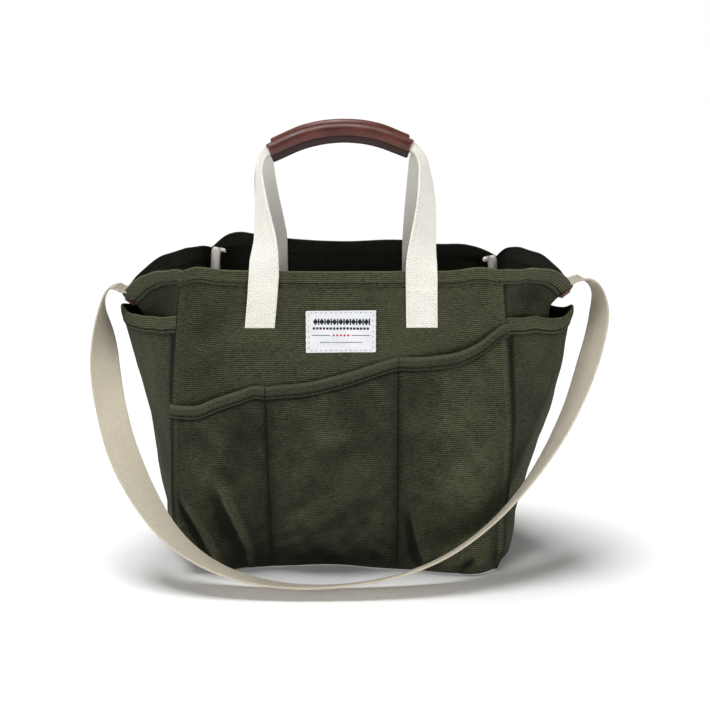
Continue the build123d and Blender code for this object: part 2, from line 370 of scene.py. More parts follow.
def set_numbers(shader, roughness, specular, **others):
    """Sets the shader's own numbers. Other sockets are named in lower case with underscores."""
    shader.inputs["Roughness"].default_value = roughness
    shader.inputs["Specular IOR Level"].default_value = specular
    for name, number in others.items():
        shader.inputs[name.replace("_", " ").title()].default_value = number


class Nodes:
    """Short names for building a material's nodes."""

    def __init__(self, tree):
        self.tree = tree

    def link(self, value, socket):
        if isinstance(value, (int, float, tuple)):
            socket.default_value = value
        else:
            self.tree.links.new(value, socket)

    def math(self, operation, *values):
        node = self.tree.nodes.new("ShaderNodeMath")
        node.operation = operation
        for value, socket in zip(values, node.inputs):
            self.link(value, socket)
        return node.outputs[0]

    def mix(self, factor, a, b, blend="MIX"):
        node = self.tree.nodes.new("ShaderNodeMix")
        node.data_type = "RGBA"
        node.blend_type = blend
        self.link(factor, node.inputs[0])
        self.link(a, node.inputs[6])
        self.link(b, node.inputs[7])
        return node.outputs[2]

    def noise(self, coordinates, scale, detail=2.0, roughness=0.5):
        node = self.tree.nodes.new("ShaderNodeTexNoise")
        self.link(coordinates, node.inputs["Vector"])
        node.inputs["Scale"].default_value = scale
        node.inputs["Detail"].default_value = detail
        node.inputs["Roughness"].default_value = roughness
        return node.outputs[0]

    def plus(self, base, extra, amount):
        """base with an amount of extra added."""
        return self.math("ADD", base, self.math("MULTIPLY", extra, amount))

    def wave(self, along, pitch):
        """Sine wave that repeats every pitch millimetres."""
        return self.math("SINE", self.math("MULTIPLY", along, 2 * math.pi / (pitch * MM)))

    def blended(self, shader, tone, dark, light):
        """Base colour that runs from dark to light with the tone."""
        self.link(self.mix(tone, (*dark, 1), (*light, 1)), shader.inputs["Base Color"])

    def object_position(self):
        return self.tree.nodes.new("ShaderNodeTexCoord").outputs["Object"]

    def weave(self):
        node = self.tree.nodes.new("ShaderNodeUVMap")
        node.uv_map = "weave"
        split = self.tree.nodes.new("ShaderNodeSeparateXYZ")
        self.tree.links.new(node.outputs[0], split.inputs[0])
        return split.outputs[0], split.outputs[1]

    def attribute(self, name):
        node = self.tree.nodes.new("ShaderNodeAttribute")
        node.attribute_name = name
        return node.outputs["Fac"]

    def scaled(self, coordinates, factors):
        node = self.tree.nodes.new("ShaderNodeVectorMath")
        node.operation = "MULTIPLY"
        self.tree.links.new(coordinates, node.inputs[0])
        node.inputs[1].default_value = factors
        return node.outputs[0]

    def span(self, value, low, high, to_low, to_high):
        node = self.tree.nodes.new("ShaderNodeMapRange")
        self.link(value, node.inputs[0])
        for socket, number in zip(node.inputs[1:5], (low, high, to_low, to_high)):
            socket.default_value = number
        return node.outputs[0]

    def bump(self, shader, height, strength, distance):
        node = self.tree.nodes.new("ShaderNodeBump")
        node.inputs["Strength"].default_value = strength
        node.inputs["Distance"].default_value = distance * MM
        self.tree.links.new(height, node.inputs["Height"])
        self.tree.links.new(node.outputs[0], shader.inputs["Normal"])


def canvas_material(name, dark, light, rib=2.0, slant=0.0):
    """Ribbed cotton duck: raised ribs along the weave, crossed by fine warp threads."""
    material, n, shader = new_material(name)
    across, up = n.weave()
    place = n.object_position()
    sway = n.math("SUBTRACT", n.noise(place, 60.0), 0.5)
    along = n.plus(n.plus(up, sway, 0.9 * MM), across, slant)
    ribs = n.math("ABSOLUTE", n.wave(along, 2 * rib))
    warp = n.wave(across, 0.75)
    thick = n.noise(n.scaled(place, (0.25, 0.25, 1.0)), 900.0, 1.0)
    height = n.math("MULTIPLY", ribs, n.span(thick, 0.3, 0.7, 0.45, 1.0))
    height = n.plus(n.plus(height, warp, 0.16), n.noise(place, 1300.0, 2.0), 0.5)
    patch = n.noise(place, 14.0, 2.0, 0.5)
    fibre = n.noise(place, 900.0, 2.0, 0.7)
    tone = n.math("MULTIPLY", n.span(height, 0.35, 1.15, 0.0, 1.0), 0.85)
    tone = n.plus(tone, n.span(fibre, 0.3, 0.7, -0.25, 0.45), 0.8)
    tone = n.math("ADD", tone, n.span(patch, 0.3, 0.7, -0.08, 0.08))
    colour = n.mix(tone, (*dark, 1), (*light, 1))
    worn = tuple(min(1.0, c * 1.75 + 0.012) for c in light)
    # Painted shade colour for folds, seams and shaded places; the worn colour also paints ridges and hems
    # lighter, as painted highlight.
    painted_shade_colour = tuple(c * 0.35 for c in dark)
    rub = n.math("MULTIPLY", n.attribute("wear"), n.span(fibre, 0.35, 0.65, 0.35, 1.0))
    colour = n.mix(rub, colour, (*worn, 1))
    # Painted shade: the shading attribute read here darkens the cloth in folds, at seams and in shaded
    # places; its negative values paint ridges and hems lighter, as painted highlight.
    painted_shading = n.attribute("painted_shading")
    colour = n.mix(n.span(painted_shading, 0.0, 1.25, 0.0, 0.9), colour, (*painted_shade_colour, 1))
    colour = n.mix(n.span(painted_shading, 0.0, -1.0, 0.0, 0.22), colour, (*worn, 1))
    n.link(colour, shader.inputs["Base Color"])
    set_numbers(shader, 0.92, 0.12, sheen_weight=0.02, sheen_roughness=0.6)
    n.bump(shader, height, 1.0, 0.6)
    return material


def tape_material(name, dark, light):
    """Twill tape: fine slanting wales."""
    return canvas_material(name, dark, light, rib=1.9, slant=0.9)


def herringbone_material(name, dark, light):
    """Cotton webbing: rows of slanting threads that change direction every few millimetres."""
    material, n, shader = new_material(name)
    across, along = n.weave()
    place = n.object_position()
    zigzag = n.math("PINGPONG", n.math("ADD", across, 0.5), 3.9 * MM)
    threads = n.math("ABSOLUTE", n.wave(n.plus(along, zigzag, 0.9), 4.8))
    height = n.plus(threads, n.wave(across, 0.8), 0.2)
    height = n.plus(height, n.noise(place, 2400.0, 2.0), 0.45)
    fibre = n.noise(place, 1400.0, 2.0, 0.7)
    patch = n.noise(place, 25.0, 2.0)
    tone = n.math("MULTIPLY", n.span(height, 0.15, 1.2, 0.0, 1.0), 0.85)
    tone = n.plus(tone, n.span(fibre, 0.3, 0.7, -0.1, 0.3), 0.6)
    tone = n.math("ADD", tone, n.span(patch, 0.3, 0.7, -0.06, 0.06))
    n.blended(shader, tone, dark, light)
    set_numbers(shader, 0.85, 0.25, sheen_weight=0.1)
    n.bump(shader, height, 0.9, 0.5)
    return material


def thread_material(name, dark, light):
    """Twisted sewing thread."""
    material, n, shader = new_material(name)
    place = n.object_position()
    twist = n.noise(n.scaled(place, (1.0, 1.0, 1.6)), 2200.0, 1.0)
    n.blended(shader, twist, dark, light)
    set_numbers(shader, 0.8, 0.1)
    n.bump(shader, twist, 0.4, 0.15)
    return material


def leather_material(name, dark, light, roughness=0.42):
    """Waxed leather: fine pebbled grain, uneven dye and rubbed high spots."""
    material, n, shader = new_material(name)
    place = n.object_position()
    cells = n.tree.nodes.new("ShaderNodeTexVoronoi")
    cells.inputs["Scale"].default_value = 900.0
    n.link(place, cells.inputs["Vector"])
    grain = n.span(cells.outputs["Distance"], 0.0, 0.7, 0.0, 1.0)
    streak = n.noise(n.scaled(place, (0.35, 1.0, 1.0)), 240.0, 3.0, 0.6)
    patch = n.noise(place, 38.0, 3.0, 0.6)
    tone = n.math("ADD", n.span(patch, 0.3, 0.7, 0.1, 0.75), n.span(streak, 0.35, 0.65, -0.15, 0.25))
    colour = n.mix(tone, (*dark, 1), (*light, 1))
    worn = tuple(min(1.0, c * 1.7 + 0.02) for c in light)
    colour = n.mix(n.math("MULTIPLY", n.attribute("wear"), 0.8), colour, (*worn, 1))
    n.link(colour, shader.inputs["Base Color"])
    n.link(n.span(streak, 0.3, 0.7, roughness - 0.06, roughness + 0.12), shader.inputs["Roughness"])
    shader.inputs["Specular IOR Level"].default_value = 0.38
    n.bump(shader, n.plus(grain, streak, 0.8), 0.35, 0.12)
    return material


def woven_label_material(name, dark, light):
    """Dense damask label cloth with a fine square weave."""
    material, n, shader = new_material(name)
    across, up = n.weave()
    place = n.object_position()
    square = n.math("MULTIPLY", n.wave(across, 0.62), n.wave(up, 0.62))
    height = n.math("ADD", square, n.noise(place, 1500.0, 2.0))
    uneven = n.span(n.noise(place, 60.0), 0.3, 0.7, 0, 0.25)
    n.blended(shader, n.math("ADD", n.span(height, -1.0, 2.0, 0.1, 0.75), uneven), dark, light)
    shader.inputs["Roughness"].default_value = 0.75
    shader.inputs["Sheen Weight"].default_value = 0.2
    n.bump(shader, height, 0.4, 0.15)
    return material


def floor_material():
    material, n, shader = new_material("studio_floor")
    n.link((0.93, 0.93, 0.93, 1), shader.inputs["Base Color"])
    set_numbers(shader, 1.0, 0.0)
    return material


OLIVE = canvas_material("olive_duck", (0.006, 0.0067, 0.003), (0.106, 0.111, 0.062))
OLIVE_TAPE = tape_material("olive_twill", (0.012, 0.0135, 0.007), (0.088, 0.093, 0.053))
# Darker copy of the canvas: painted shade on the faces that look into the bag.
OLIVE_SHADED_INSIDE = canvas_material("olive_duck_shaded_inside", (0.005, 0.006, 0.004), (0.024, 0.026, 0.015))
# Darker, tanner copy of the cream webbing: painted shade on the shoulder strap.
SHADED_STRAP_WEB = herringbone_material("shaded_strap_webbing", (0.32, 0.27, 0.19), (0.71, 0.655, 0.53))
CREAM_WEB = herringbone_material("cream_webbing", (0.66, 0.60, 0.49), (1.0, 0.985, 0.93))
CREAM_TAPE = herringbone_material("cream_tape", (0.70, 0.65, 0.55), (1.0, 0.97, 0.90))
OLIVE_THREAD = thread_material("olive_thread", (0.002, 0.0025, 0.0015), (0.009, 0.010, 0.006))
CREAM_THREAD = thread_material("cream_thread", (0.62, 0.56, 0.44), (0.92, 0.88, 0.78))
DARK_THREAD = thread_material("dark_thread", (0.003, 0.003, 0.002), (0.012, 0.012, 0.009))
LEATHER = leather_material("burgundy_leather", (0.042, 0.0095, 0.006), (0.120, 0.030, 0.019))
# Darker copy of the leather: painted shade for the flange under the grip.
SHADED_LEATHER = leather_material("shaded_leather", (0.012, 0.0045, 0.003), (0.030, 0.012, 0.008), 0.55)
GREY_THREAD = thread_material("grey_thread", (0.16, 0.17, 0.2), (0.42, 0.43, 0.46))
BROWN_THREAD = thread_material("brown_thread", (0.030, 0.020, 0.016), (0.085, 0.062, 0.052))
LABEL_CLOTH = woven_label_material("label_cloth", (0.60, 0.61, 0.63), (0.87, 0.88, 0.90))
INK_THREAD = thread_material("ink_thread", (0.012, 0.014, 0.022), (0.04, 0.045, 0.06))
CRIMSON_THREAD = thread_material("crimson_thread", (0.40, 0.02, 0.04), (0.62, 0.06, 0.09))


# ---------------------------------------------------------------- camera, light and floor

CAMERA_PLACE = (12.6, -1183.0, 516.0)
CAMERA_PITCH = 14.6
CAMERA_LENS = 58.4


def make_camera():
    data = bpy.data.cameras.new("camera")
    data.lens = CAMERA_LENS
    data.sensor_width = 36.0
    camera = bpy.data.objects.new("camera", data)
    camera.location = Vector(CAMERA_PLACE) * MM
    camera.rotation_euler = (math.radians(90 - CAMERA_PITCH), 0, 0)
    bpy.context.collection.objects.link(camera)
    bpy.context.scene.camera = camera


def area_light(name, place, target, size, power):
    data = bpy.data.lights.new(name, "AREA")
    data.shape = "SQUARE"
    data.size = size
    data.energy = power
    light = bpy.data.objects.new(name, data)
    light.location = place
    direction = Vector(target) - Vector(place)
    light.rotation_euler = direction.to_track_quat("-Z", "Y").to_euler()
    bpy.context.collection.objects.link(light)


def make_studio():
    world = bpy.data.worlds.new("studio")
    bpy.context.scene.world = world
    world.use_nodes = True
    tree = world.node_tree
    background = tree.nodes["Background"]
    direction = tree.nodes.new("ShaderNodeTexCoord")
    split = tree.nodes.new("ShaderNodeSeparateXYZ")
    tree.links.new(direction.outputs["Generated"], split.inputs[0])
    sky = tree.nodes.new("ShaderNodeMapRange")
    sky.interpolation_type = "SMOOTHSTEP"
    for socket, number in zip(sky.inputs[1:5], (0.12, 0.36, 1.0, 0.10)):
        socket.default_value = number
    tree.links.new(split.outputs[2], sky.inputs[0])
    tree.links.new(sky.outputs[0], background.inputs["Strength"])
    background.inputs["Color"].default_value = (1.0, 1.0, 1.0, 1)
    overhead = bpy.data.lights.new("overhead", "SUN")
    overhead.energy = 3.0
    overhead.angle = math.radians(30)
    sun = bpy.data.objects.new("overhead", overhead)
    sun.rotation_euler = (math.radians(-6), math.radians(-8), 0)
    bpy.context.collection.objects.link(sun)
    area_light("key", (-1.7, -1.25, 0.45), (0, 0, 0.18), 1.1, 17)
    area_light("fill", (1.5, -1.4, 0.3), (0, 0, 0.16), 0.7, 15)
    bpy.context.scene.view_settings.view_transform = "Standard"
    size = 30.0 / MM
    corners = [(-size, -size, 0), (size, -size, 0), (size, size, 0), (-size, size, 0)]
    floor = new_object("studio_floor", corners, [(0, 1, 2, 3)], floor_material())
    floor.location.z = -0.0008


# ---------------------------------------------------------------- the walls of the bag

class Wall:
    """Front or back wall. The back one is worked out as a front and then given half a turn."""

    def __init__(self, left, right, rim, foot, folds, belly):
        self.left = through(left)
        self.right = through(right)
        self.rim = through(rim)
        self.foot = through(foot)
        self.folds = folds
        self.belly = belly

    def x_at(self, u, z):
        return self.left(z)[..., 0] * (1 - u) + self.right(z)[..., 0] * u

    def u_at(self, x, z):
        left = self.left(z)[..., 0]
        return (x - left) / (self.right(z)[..., 0] - left)

    def face_y(self, u, z):
        """Depth of the wall's outside, with the pulled-in foot, the belly and the soft folds."""
        x = self.x_at(u, z)
        straight = self.left(z)[..., 1] * (1 - u) + self.right(z)[..., 1] * u
        rise = np.exp(-(z / 42.0) ** 2)
        y = straight * (1 - rise) + self.foot(x) * rise
        middle = np.sin(np.pi * np.clip(u, 0, 1))
        height = np.sin(np.pi * np.clip(z / RIM_Z, 0, 1))
        flat = stack(x, 0.0, z)
        uneven = ripple(flat, 42, 0.8) + ripple(flat, 13, 0.35, 7) + relief(x, z, self.folds)
        return y - self.belly * middle * height - uneven * np.clip(middle * 4, 0, 1)

    def on_face(self, x, z, lift):
        """Point above a given place of the wall's outside."""
        x, z = np.broadcast_arrays(np.asarray(x, float), np.asarray(z, float))
        return stack(x, self.face_y(self.u_at(x, z), z) - lift, z)

    def point(self, u, z, lift=0.0, past=0.0):
        """Point on the wall at share u across and height z. Past an edge the cloth turns the
        corner: past is the distance beyond the left (negative) or right (positive) edge."""
        u = np.clip(u, 0, 1)
        left_x = self.left(z)[..., 0] + CORNER
        right_x = self.right(z)[..., 0] - CORNER
        y = self.face_y(u, z)
        radius = CORNER + lift
        turn = np.minimum(np.abs(past) / CORNER, np.pi / 2)
        straight = np.maximum(np.abs(past) - CORNER_ARC, 0)
        x = left_x * (1 - u) + right_x * u + np.sign(past) * radius * np.sin(turn)
        x = x - np.sign(past) * straight * 0.25
        y = y + CORNER - radius * np.cos(turn) + straight
        return stack(x, y, z)


FRONT_WALL = Wall(
    left=[(0, -134, -88), (8, -142, -89), (20, -154, -89), (32, -163, -88), (48, -170.5, -87),
          (77, -173, -86.5), (105, -172.3, -86), (140, -171, -85), (185, -169.6, -84.5),
          (250, -164, -83.5), (314, -157.3, FRONT_Y)],
    right=[(0, 158, -84), (12, 163, -87), (55, 166, -86.5), (100, 168.3, -86), (150, 169.6, -85),
           (215, 164.9, -84), (250, 162, -83.5), (314, 155.4, FRONT_Y)],
    rim=[(-158, 313), (-148, 316.5), (-120, 314.5), (-60, 313), (60, 313), (110, 313.6), (138, 316.8),
         (156, 314)],
    foot=[(-134, -91), (-102, -80), (-60, -74), (10, -73.5), (38, -80), (92, -88), (124, -94), (149, -91),
          (160, -83)],
    folds=[((-150, 236), (-75, 256), 14, 1.9), ((-140, 262), (-100, 288), 16, -1.7),
           ((-60, 214), (40, 232), 17, -0.9), ((20, 250), (60, 215), 15, 0.9),
           ((110, 300), (150, 240), 13, 1.4), ((-20, 285), (30, 290), 15, -0.5)],
    belly=2.0)

BACK_WALL = Wall(
    left=[(0, -150, -86), (50, -163, -85), (110, -171, -85), (158, -173, -84), (230, -176, -83),
          (314, -174, -BACK_Y)],
    right=[(0, 146, -86), (50, 157, -85), (110, 166, -85), (158, 167, -84), (230, 160, -83),
           (314, 149, -BACK_Y)],
    rim=[(-175, 298), (-160, 306), (-140, 312), (-105, 313), (-65, 317.5), (0, 316), (60, 319), (102, 324.5),
         (116, 326.5), (134, 322), (149, 309)],
    foot=[(-150, -86), (-100, -82), (0, -78), (100, -82), (146, -86)],
    folds=[((-120, 240), (-60, 262), 18, 2.0), ((40, 250), (120, 225), 18, -2.0)],
    belly=3.0)


def wall_columns(count):
    """Shares across a wall and distances past its edges, for one row of its grid."""
    turn = np.array([1.0, 0.75, 0.5, 0.25]) * CORNER_ARC
    edge = np.concatenate([[TUCK + CORNER_ARC, TUCK / 2 + CORNER_ARC], turn])
    u = np.concatenate([np.zeros(len(edge)), np.linspace(0, 1, count), np.ones(len(edge))])
    past = np.concatenate([-edge, np.zeros(count), edge[::-1]])
    return u, past


def rim_rows(height, hem, step):
    """Heights below the rim: close together near the hem, wider below it."""
    near = np.array([0, *HEM_DROPS, 1.12]) * hem
    below = np.linspace(near[-1], height, int((height - near[-1]) / step) + 2)[1:]
    return np.concatenate([near, below])


def panel(name, wall, back, stitches):
    """One wall's cloth, with painted shade that darkens it towards its left, and the stitches of its hem."""
    u, past = wall_columns(76)
    rim = wall.rim(wall.x_at(u, RIM_Z))
    drops = rim_rows(RIM_Z, HEM, 4.2)[::-1]
    z = np.maximum(rim[None, :] * (1 - drops[:, None] / RIM_Z), FOOT_Z)
    points = wall.point(np.broadcast_to(u, z.shape), z, 0.0, np.broadcast_to(past, z.shape))
    normals = grid_normals(points, OUT_FRONT)
    # Painted shade in folds, at the turned edges and towards the wall's left, painted highlight on ridges,
    # and the rest painted a little lighter.
    shade = 0.45 * creases(points, normals, 3, 1.5) + edge_shade(past)
    shade = shade + 0.5 * (1 - ease((points[..., 0] + 135) / 90)) - 0.12
    hemmed_canvas(name, points, normals, drops, HEM, shade, stitches, 5, back)


# ---------------------------------------------------------------- stitches

def stitch_mesh(name, runs, material, length_share=0.62, radius=0.42, sink=0.1):
    """Rows of stitches as small rounded threads lying along each run of points."""
    rings = [(-1.0, 0.15), (-0.7, 0.8), (0.0, 1.0), (0.7, 0.8), (1.0, 0.15)]
    sides = 6
    vertices = []
    faces = []
    for points, normals, pitch in runs:
        travelled = travel(points)
        count = int(travelled[-1] / pitch)
        places = (np.arange(count) + 0.5) * travelled[-1] / max(count, 1)
        for i, place in enumerate(places):
            reach = pitch * length_share / 2
            ends = [np.array([np.interp(place + side * reach, travelled, points[:, k]) for k in range(3)])
                    for side in (-1, 1)]
            normal = unit(np.array([np.interp(place, travelled, normals[:, k]) for k in range(3)]))
            along = unit(ends[1] - ends[0])
            side_way = np.cross(along, normal)
            middle = (ends[0] + ends[1]) / 2 + side_way * 0.18 * math.sin(i * 2.4)
            half = np.linalg.norm(ends[1] - ends[0]) / 2
            first = len(vertices)
            for share, size in rings:
                dip = -radius * 0.9 * share * share
                centre = middle + along * half * share + normal * (sink + dip)
                for s in range(sides):
                    a = 2 * math.pi * s / sides
                    spoke = normal * math.cos(a) * 0.8 + side_way * math.sin(a)
                    vertices.append(centre + spoke * radius * size)
            for r in range(len(rings) - 1):
                for s in range(sides):
                    t = (s + 1) % sides
                    a = first + r * sides
                    faces.append((a + s, a + t, a + sides + t, a + sides + s))
            faces.append(tuple(first + s for s in range(sides))[::-1])
            last = first + (len(rings) - 1) * sides
            faces.append(tuple(last + s for s in range(sides)))
    return new_object(name, vertices, faces, material)


# ---------------------------------------------------------------- gussets and side pockets

class Gusset:
    """End wall folded outwards: s runs round it from the front corner to the back corner,
    and v up it from the ground to the rim."""

    def __init__(self, side, front, back, reach, half, bow, rim):
        self.side = side
        self.front = front
        self.back = back
        self.reach = through(reach)
        self.half = through(half)
        self.bow = through(bow)
        self.rim = through(rim)

    def point(self, s, v, lift=0.0):
        z = v * (self.rim(s) + 0.9 * np.sin(37 * s) * np.sin(11 * s))
        level = v * RIM_Z
        front = self.front(level)
        back = self.back(level)
        inset = CORNER + TUCK - 1.5
        start = stack(front[..., 0] - self.side * 5.0, front[..., 1] + inset)
        end = stack(back[..., 0] - self.side * 5.0, back[..., 1] - inset)
        reach = self.side * (self.reach(v) + lift)
        half = self.half(v) + lift * 0.3
        fold_front = stack(reach, -half)
        fold_back = stack(reach, half)
        halves = []
        for corner, fold, way in ((start, fold_front, -1), (end, fold_back, 1)):
            along = unit(fold - corner)
            out = stack(-along[..., 1], along[..., 0]) * np.where(self.side * way > 0, -1.0, 1.0)[..., None]
            out = out * np.where(out[..., 0:1] * self.side > 0, 1, -1)
            middle = (corner + fold) / 2 + out * (self.bow(v) + lift)[..., None]
            halves.append((corner + out * lift, middle))
        stations = [halves[0][0], halves[0][1], fold_front, fold_back, halves[1][1], halves[1][0]]
        keys = np.array([0.0, 0.24, 0.46, 0.54, 0.76, 1.0])
        x = self.round_end(s, keys, [p[..., 0] for p in stations])
        y = self.round_end(s, keys, [p[..., 1] for p in stations])
        return stack(x, y, z)

    @staticmethod
    def round_end(s, keys, values):
        """Smooth curve in s through six values, each of which is an array over the grid."""
        values = [np.broadcast_to(v, s.shape) for v in values]
        slopes = []
        for i in range(len(keys)):
            a = max(i - 1, 0)
            b = min(i + 1, len(keys) - 1)
            slopes.append((values[b] - values[a]) / (keys[b] - keys[a]))
        out = np.zeros(s.shape)
        for i in range(len(keys) - 1):
            inside = (s >= keys[i]) & (s <= keys[i + 1])
            h = keys[i + 1] - keys[i]
            piece = hermite((s - keys[i]) / h, h, values[i], values[i + 1], slopes[i], slopes[i + 1])
            out = np.where(inside, piece, out)
        return out


def turned_column(column):
    """A back wall's edge, seen in the bag's own frame."""
    return lambda z: -column(z)


LEFT_GUSSET = Gusset(
    -1, FRONT_WALL.left, turned_column(BACK_WALL.right),
    reach=[(0, 176), (0.2, 181), (0.4, 188), (0.6, 195), (0.78, 202), (0.88, 205), (0.925, 207.5),
           (0.955, 214), (0.985, 224), (1, 227)],
    half=[(0, 6), (0.6, 6), (0.88, 8), (0.94, 9), (1, 10)],
    bow=[(0, 1), (0.4, 2), (0.8, 1), (0.93, -3), (1, 3)],
    rim=[(0, 312.5), (0.10, 311.5), (0.22, 306), (0.33, 297), (0.40, 287), (0.46, 278), (0.54, 279),
         (0.60, 290), (0.66, 300), (0.78, 310), (0.88, 313), (0.95, 312.7), (1, 309)])

RIGHT_GUSSET = Gusset(
    1, FRONT_WALL.right, turned_column(BACK_WALL.left),
    reach=[(0, 174), (0.2, 182), (0.4, 194), (0.6, 206), (0.78, 213.5), (0.87, 215), (0.925, 216),
           (0.955, 223), (0.985, 233), (1, 236)],
    half=[(0, 8), (0.6, 6), (0.88, 8), (0.94, 9), (1, 10)],
    bow=[(0, 5), (0.2, 5), (0.4, 3), (0.8, 1), (0.93, -3), (1, 4)],
    rim=[(0, 312.5), (0.10, 312), (0.22, 310), (0.33, 305), (0.40, 298), (0.46, 286.5), (0.54, 286.5),
         (0.60, 296), (0.68, 306), (0.78, 311.5), (0.86, 313.5), (0.94, 310.5), (1, 300)])

LEFT_POCKET_SHAPE = Gusset(
    -1, FRONT_WALL.left, turned_column(BACK_WALL.right),
    reach=[(0, 184), (0.09, 189), (0.16, 190), (0.32, 198), (0.44, 202), (0.5, 206), (0.61, 213), (0.69, 219),
           (0.78, 225), (0.85, 227.5)],
    half=[(0, 6), (0.6, 6), (0.85, 7)],
    bow=[(0, 2), (0.15, 2), (0.3, 4), (0.6, 4), (0.85, 2)],
    rim=[(0, RIM_Z), (1, RIM_Z)])

RIGHT_POCKET_SHAPE = Gusset(
    1, FRONT_WALL.right, turned_column(BACK_WALL.left),
    reach=[(0, 180), (0.16, 185), (0.24, 195), (0.36, 207), (0.5, 219.5), (0.72, 231), (0.78, 233),
           (0.85, 236)],
    half=[(0, 7), (0.6, 7), (0.85, 8)],
    bow=[(0, 6), (0.2, 6), (0.35, 4), (0.6, 3), (0.85, 1)],
    rim=[(0, RIM_Z), (1, RIM_Z)])


# Places round an end wall, closer together at its fold
ROUND_END = runs_between([0, 0.4, 0.6, 1], [22, 22, 22])


def end_canvas(name, shape, points, tilt, uneven, drops, depth, stitches, hem_wear):
    """Hemmed cloth of an end wall or its pocket. uneven is (size, height, seed) of its soft waves."""
    flat = np.zeros(points.shape[:2])
    normals = grid_normals(points, stack(flat + shape.side, flat, flat + tilt))
    size, height, seed = uneven
    waves = ripple(points, size, height, seed) + ripple(points, 12, 0.4, seed + 6)
    points = points + normals * waves[..., None]
    # Painted shade: the right end darker than the left, painted shadow where it is sewn in at the corners,
    # and painted shade in folds with painted highlight on ridges.
    broad_shade = 0.32 if shape.side > 0 else 0.24
    shade = 0.5 * creases(points, normals, 3, 1.5) + corner_shade(ROUND_END) + broad_shade
    hemmed_canvas(name, points, normals, drops, depth, shade, stitches, 2,
                  hem_out=shape.side > 0, hem_wear=hem_wear)


def gusset_panel(name, shape, stitches):
    drops = rim_rows(RIM_Z, HEM, 4.5)[::-1]
    v = np.maximum(1 - drops / RIM_Z, 0.004)
    points = shape.point(*np.broadcast_arrays(ROUND_END[None, :], v[:, None]))
    end_canvas(name, shape, points, 0.15, (30, 1.4, 3), drops, HEM, stitches, 0.55)


def side_pocket(name, shape, mouth, stitches):
    """Sleeve round a gusset, a little outside it, with a hemmed mouth."""
    tallest = max(row[1] for row in mouth)
    drops = rim_rows(tallest, SIDE_HEM, 4.5)[::-1]
    z = np.maximum(through(mouth)(ROUND_END)[None, :] * (1 - drops[:, None] / tallest), FOOT_Z)
    points = shape.point(np.broadcast_to(ROUND_END, z.shape), z / RIM_Z, 1.9)
    end_canvas(name, shape, points, 0.0, (34, 1.6, 5), drops, SIDE_HEM, stitches, 0.6)


LEFT_MOUTH = [(0, 267), (0.3, 259), (0.42, 259), (0.5, 263), (0.58, 260), (0.7, 259), (1, 266)]
RIGHT_MOUTH = [(0, 265), (0.2, 261), (0.36, 254), (0.44, 255.5), (0.5, 262), (0.56, 257), (0.7, 257),
               (1, 265)]


# ---------------------------------------------------------------- front and back pockets

class Pocket:
    """Cloth sewn to a wall at its sides, at its foot and along two dividers, so that it stands
    out in three bays. p runs across it from 0 to 3, a whole number at each seam."""

    def __init__(self, wall, dividers, mouth, bays, pleats):
        self.wall = wall
        self.dividers = dividers
        self.mouth = through(mouth)
        self.bays = bays
        self.pleats = pleats

    def seam_x(self, i, z):
        if i == 0:
            return self.wall.left(z)[..., 0] + CORNER
        if i == 3:
            return self.wall.right(z)[..., 0] - CORNER
        top, foot = self.dividers[i - 1]
        return foot + (top - foot) * np.clip(z / 200.0, 0, 1.3)

    def x_at(self, p, z):
        bay = np.clip(np.floor(p), 0, 2)
        share = p - bay
        x = np.zeros(np.broadcast(p, z).shape)
        for i in range(3):
            here = self.seam_x(i, z) * (1 - share) + self.seam_x(i + 1, z) * share
            x = np.where(bay == i, here, x)
        return x

    def lift_at(self, p, z, top):
        """How far the cloth stands out from the wall."""
        x = self.x_at(p, z)
        bay = np.clip(np.floor(p), 0, 2)
        share = np.clip(p - bay, 0, 1)
        lift = np.full(x.shape, 1.7)
        up = np.clip(z / top, 0, 1)
        for i, (height, peak, open_mouth) in enumerate(self.bays):
            skew = share + (0.5 - peak) / (peak - peak * peak) * share * (1 - share)
            hump = np.sin(np.pi * skew) ** 0.9
            profile = np.interp(up, [0, 0.12, 0.4, 0.7, 1.0], [0.10, 0.42, 1.0, 0.95, open_mouth])
            lift = lift + np.where(bay == i, height * hump * profile, 0)
        for line, depth, width, reach in self.pleats:
            line_x = np.interp(z, [row[1] for row in line], [row[0] for row in line])
            fade = ease((reach - z) / (reach * 0.75))
            gap = (x - line_x) * np.sign(width)
            dip = np.where(gap < 0, np.exp(-(gap / width) ** 2), np.exp(-(gap / 2.0) ** 2))
            lift = lift - np.minimum(depth, lift - 1.0) * dip * fade
        flat = stack(x, 0.0, z)
        uneven = relief(x, z, self.folds) + ripple(flat, 40, 1.3, 2) + ripple(flat, 14, 0.5, 4)
        return lift + uneven * np.sin(np.pi * share) ** 0.5

    folds = [((-22, 100), (20, 150), 19, -1.5), ((-50, 60), (-20, 70), 14, 1.6),
             ((-5, 62), (45, 88), 15, -1.5), ((-98, 160), (-112, 110), 14, -1.4),
             ((105, 110), (150, 160), 20, 1.6), ((-60, 165), (-20, 178), 14, 1.0),
             ((-68, 44), (-48, 52), 4, 1.2), ((-68, 30), (-44, 36), 4, 1.2), ((-66, 58), (-40, 68), 5, 1.0),
             ((30, 30), (50, 20), 5, 1.0), ((20, 44), (46, 40), 5, 0.8)]

    def point(self, p, z, extra=0.0, past=0.0):
        x = self.x_at(p, z)
        top = self.mouth(x)
        left = self.seam_x(0, z)
        u = (x - left) / (self.seam_x(3, z) - left)
        return self.wall.point(u, z, self.lift_at(p, z, top) + extra, past)


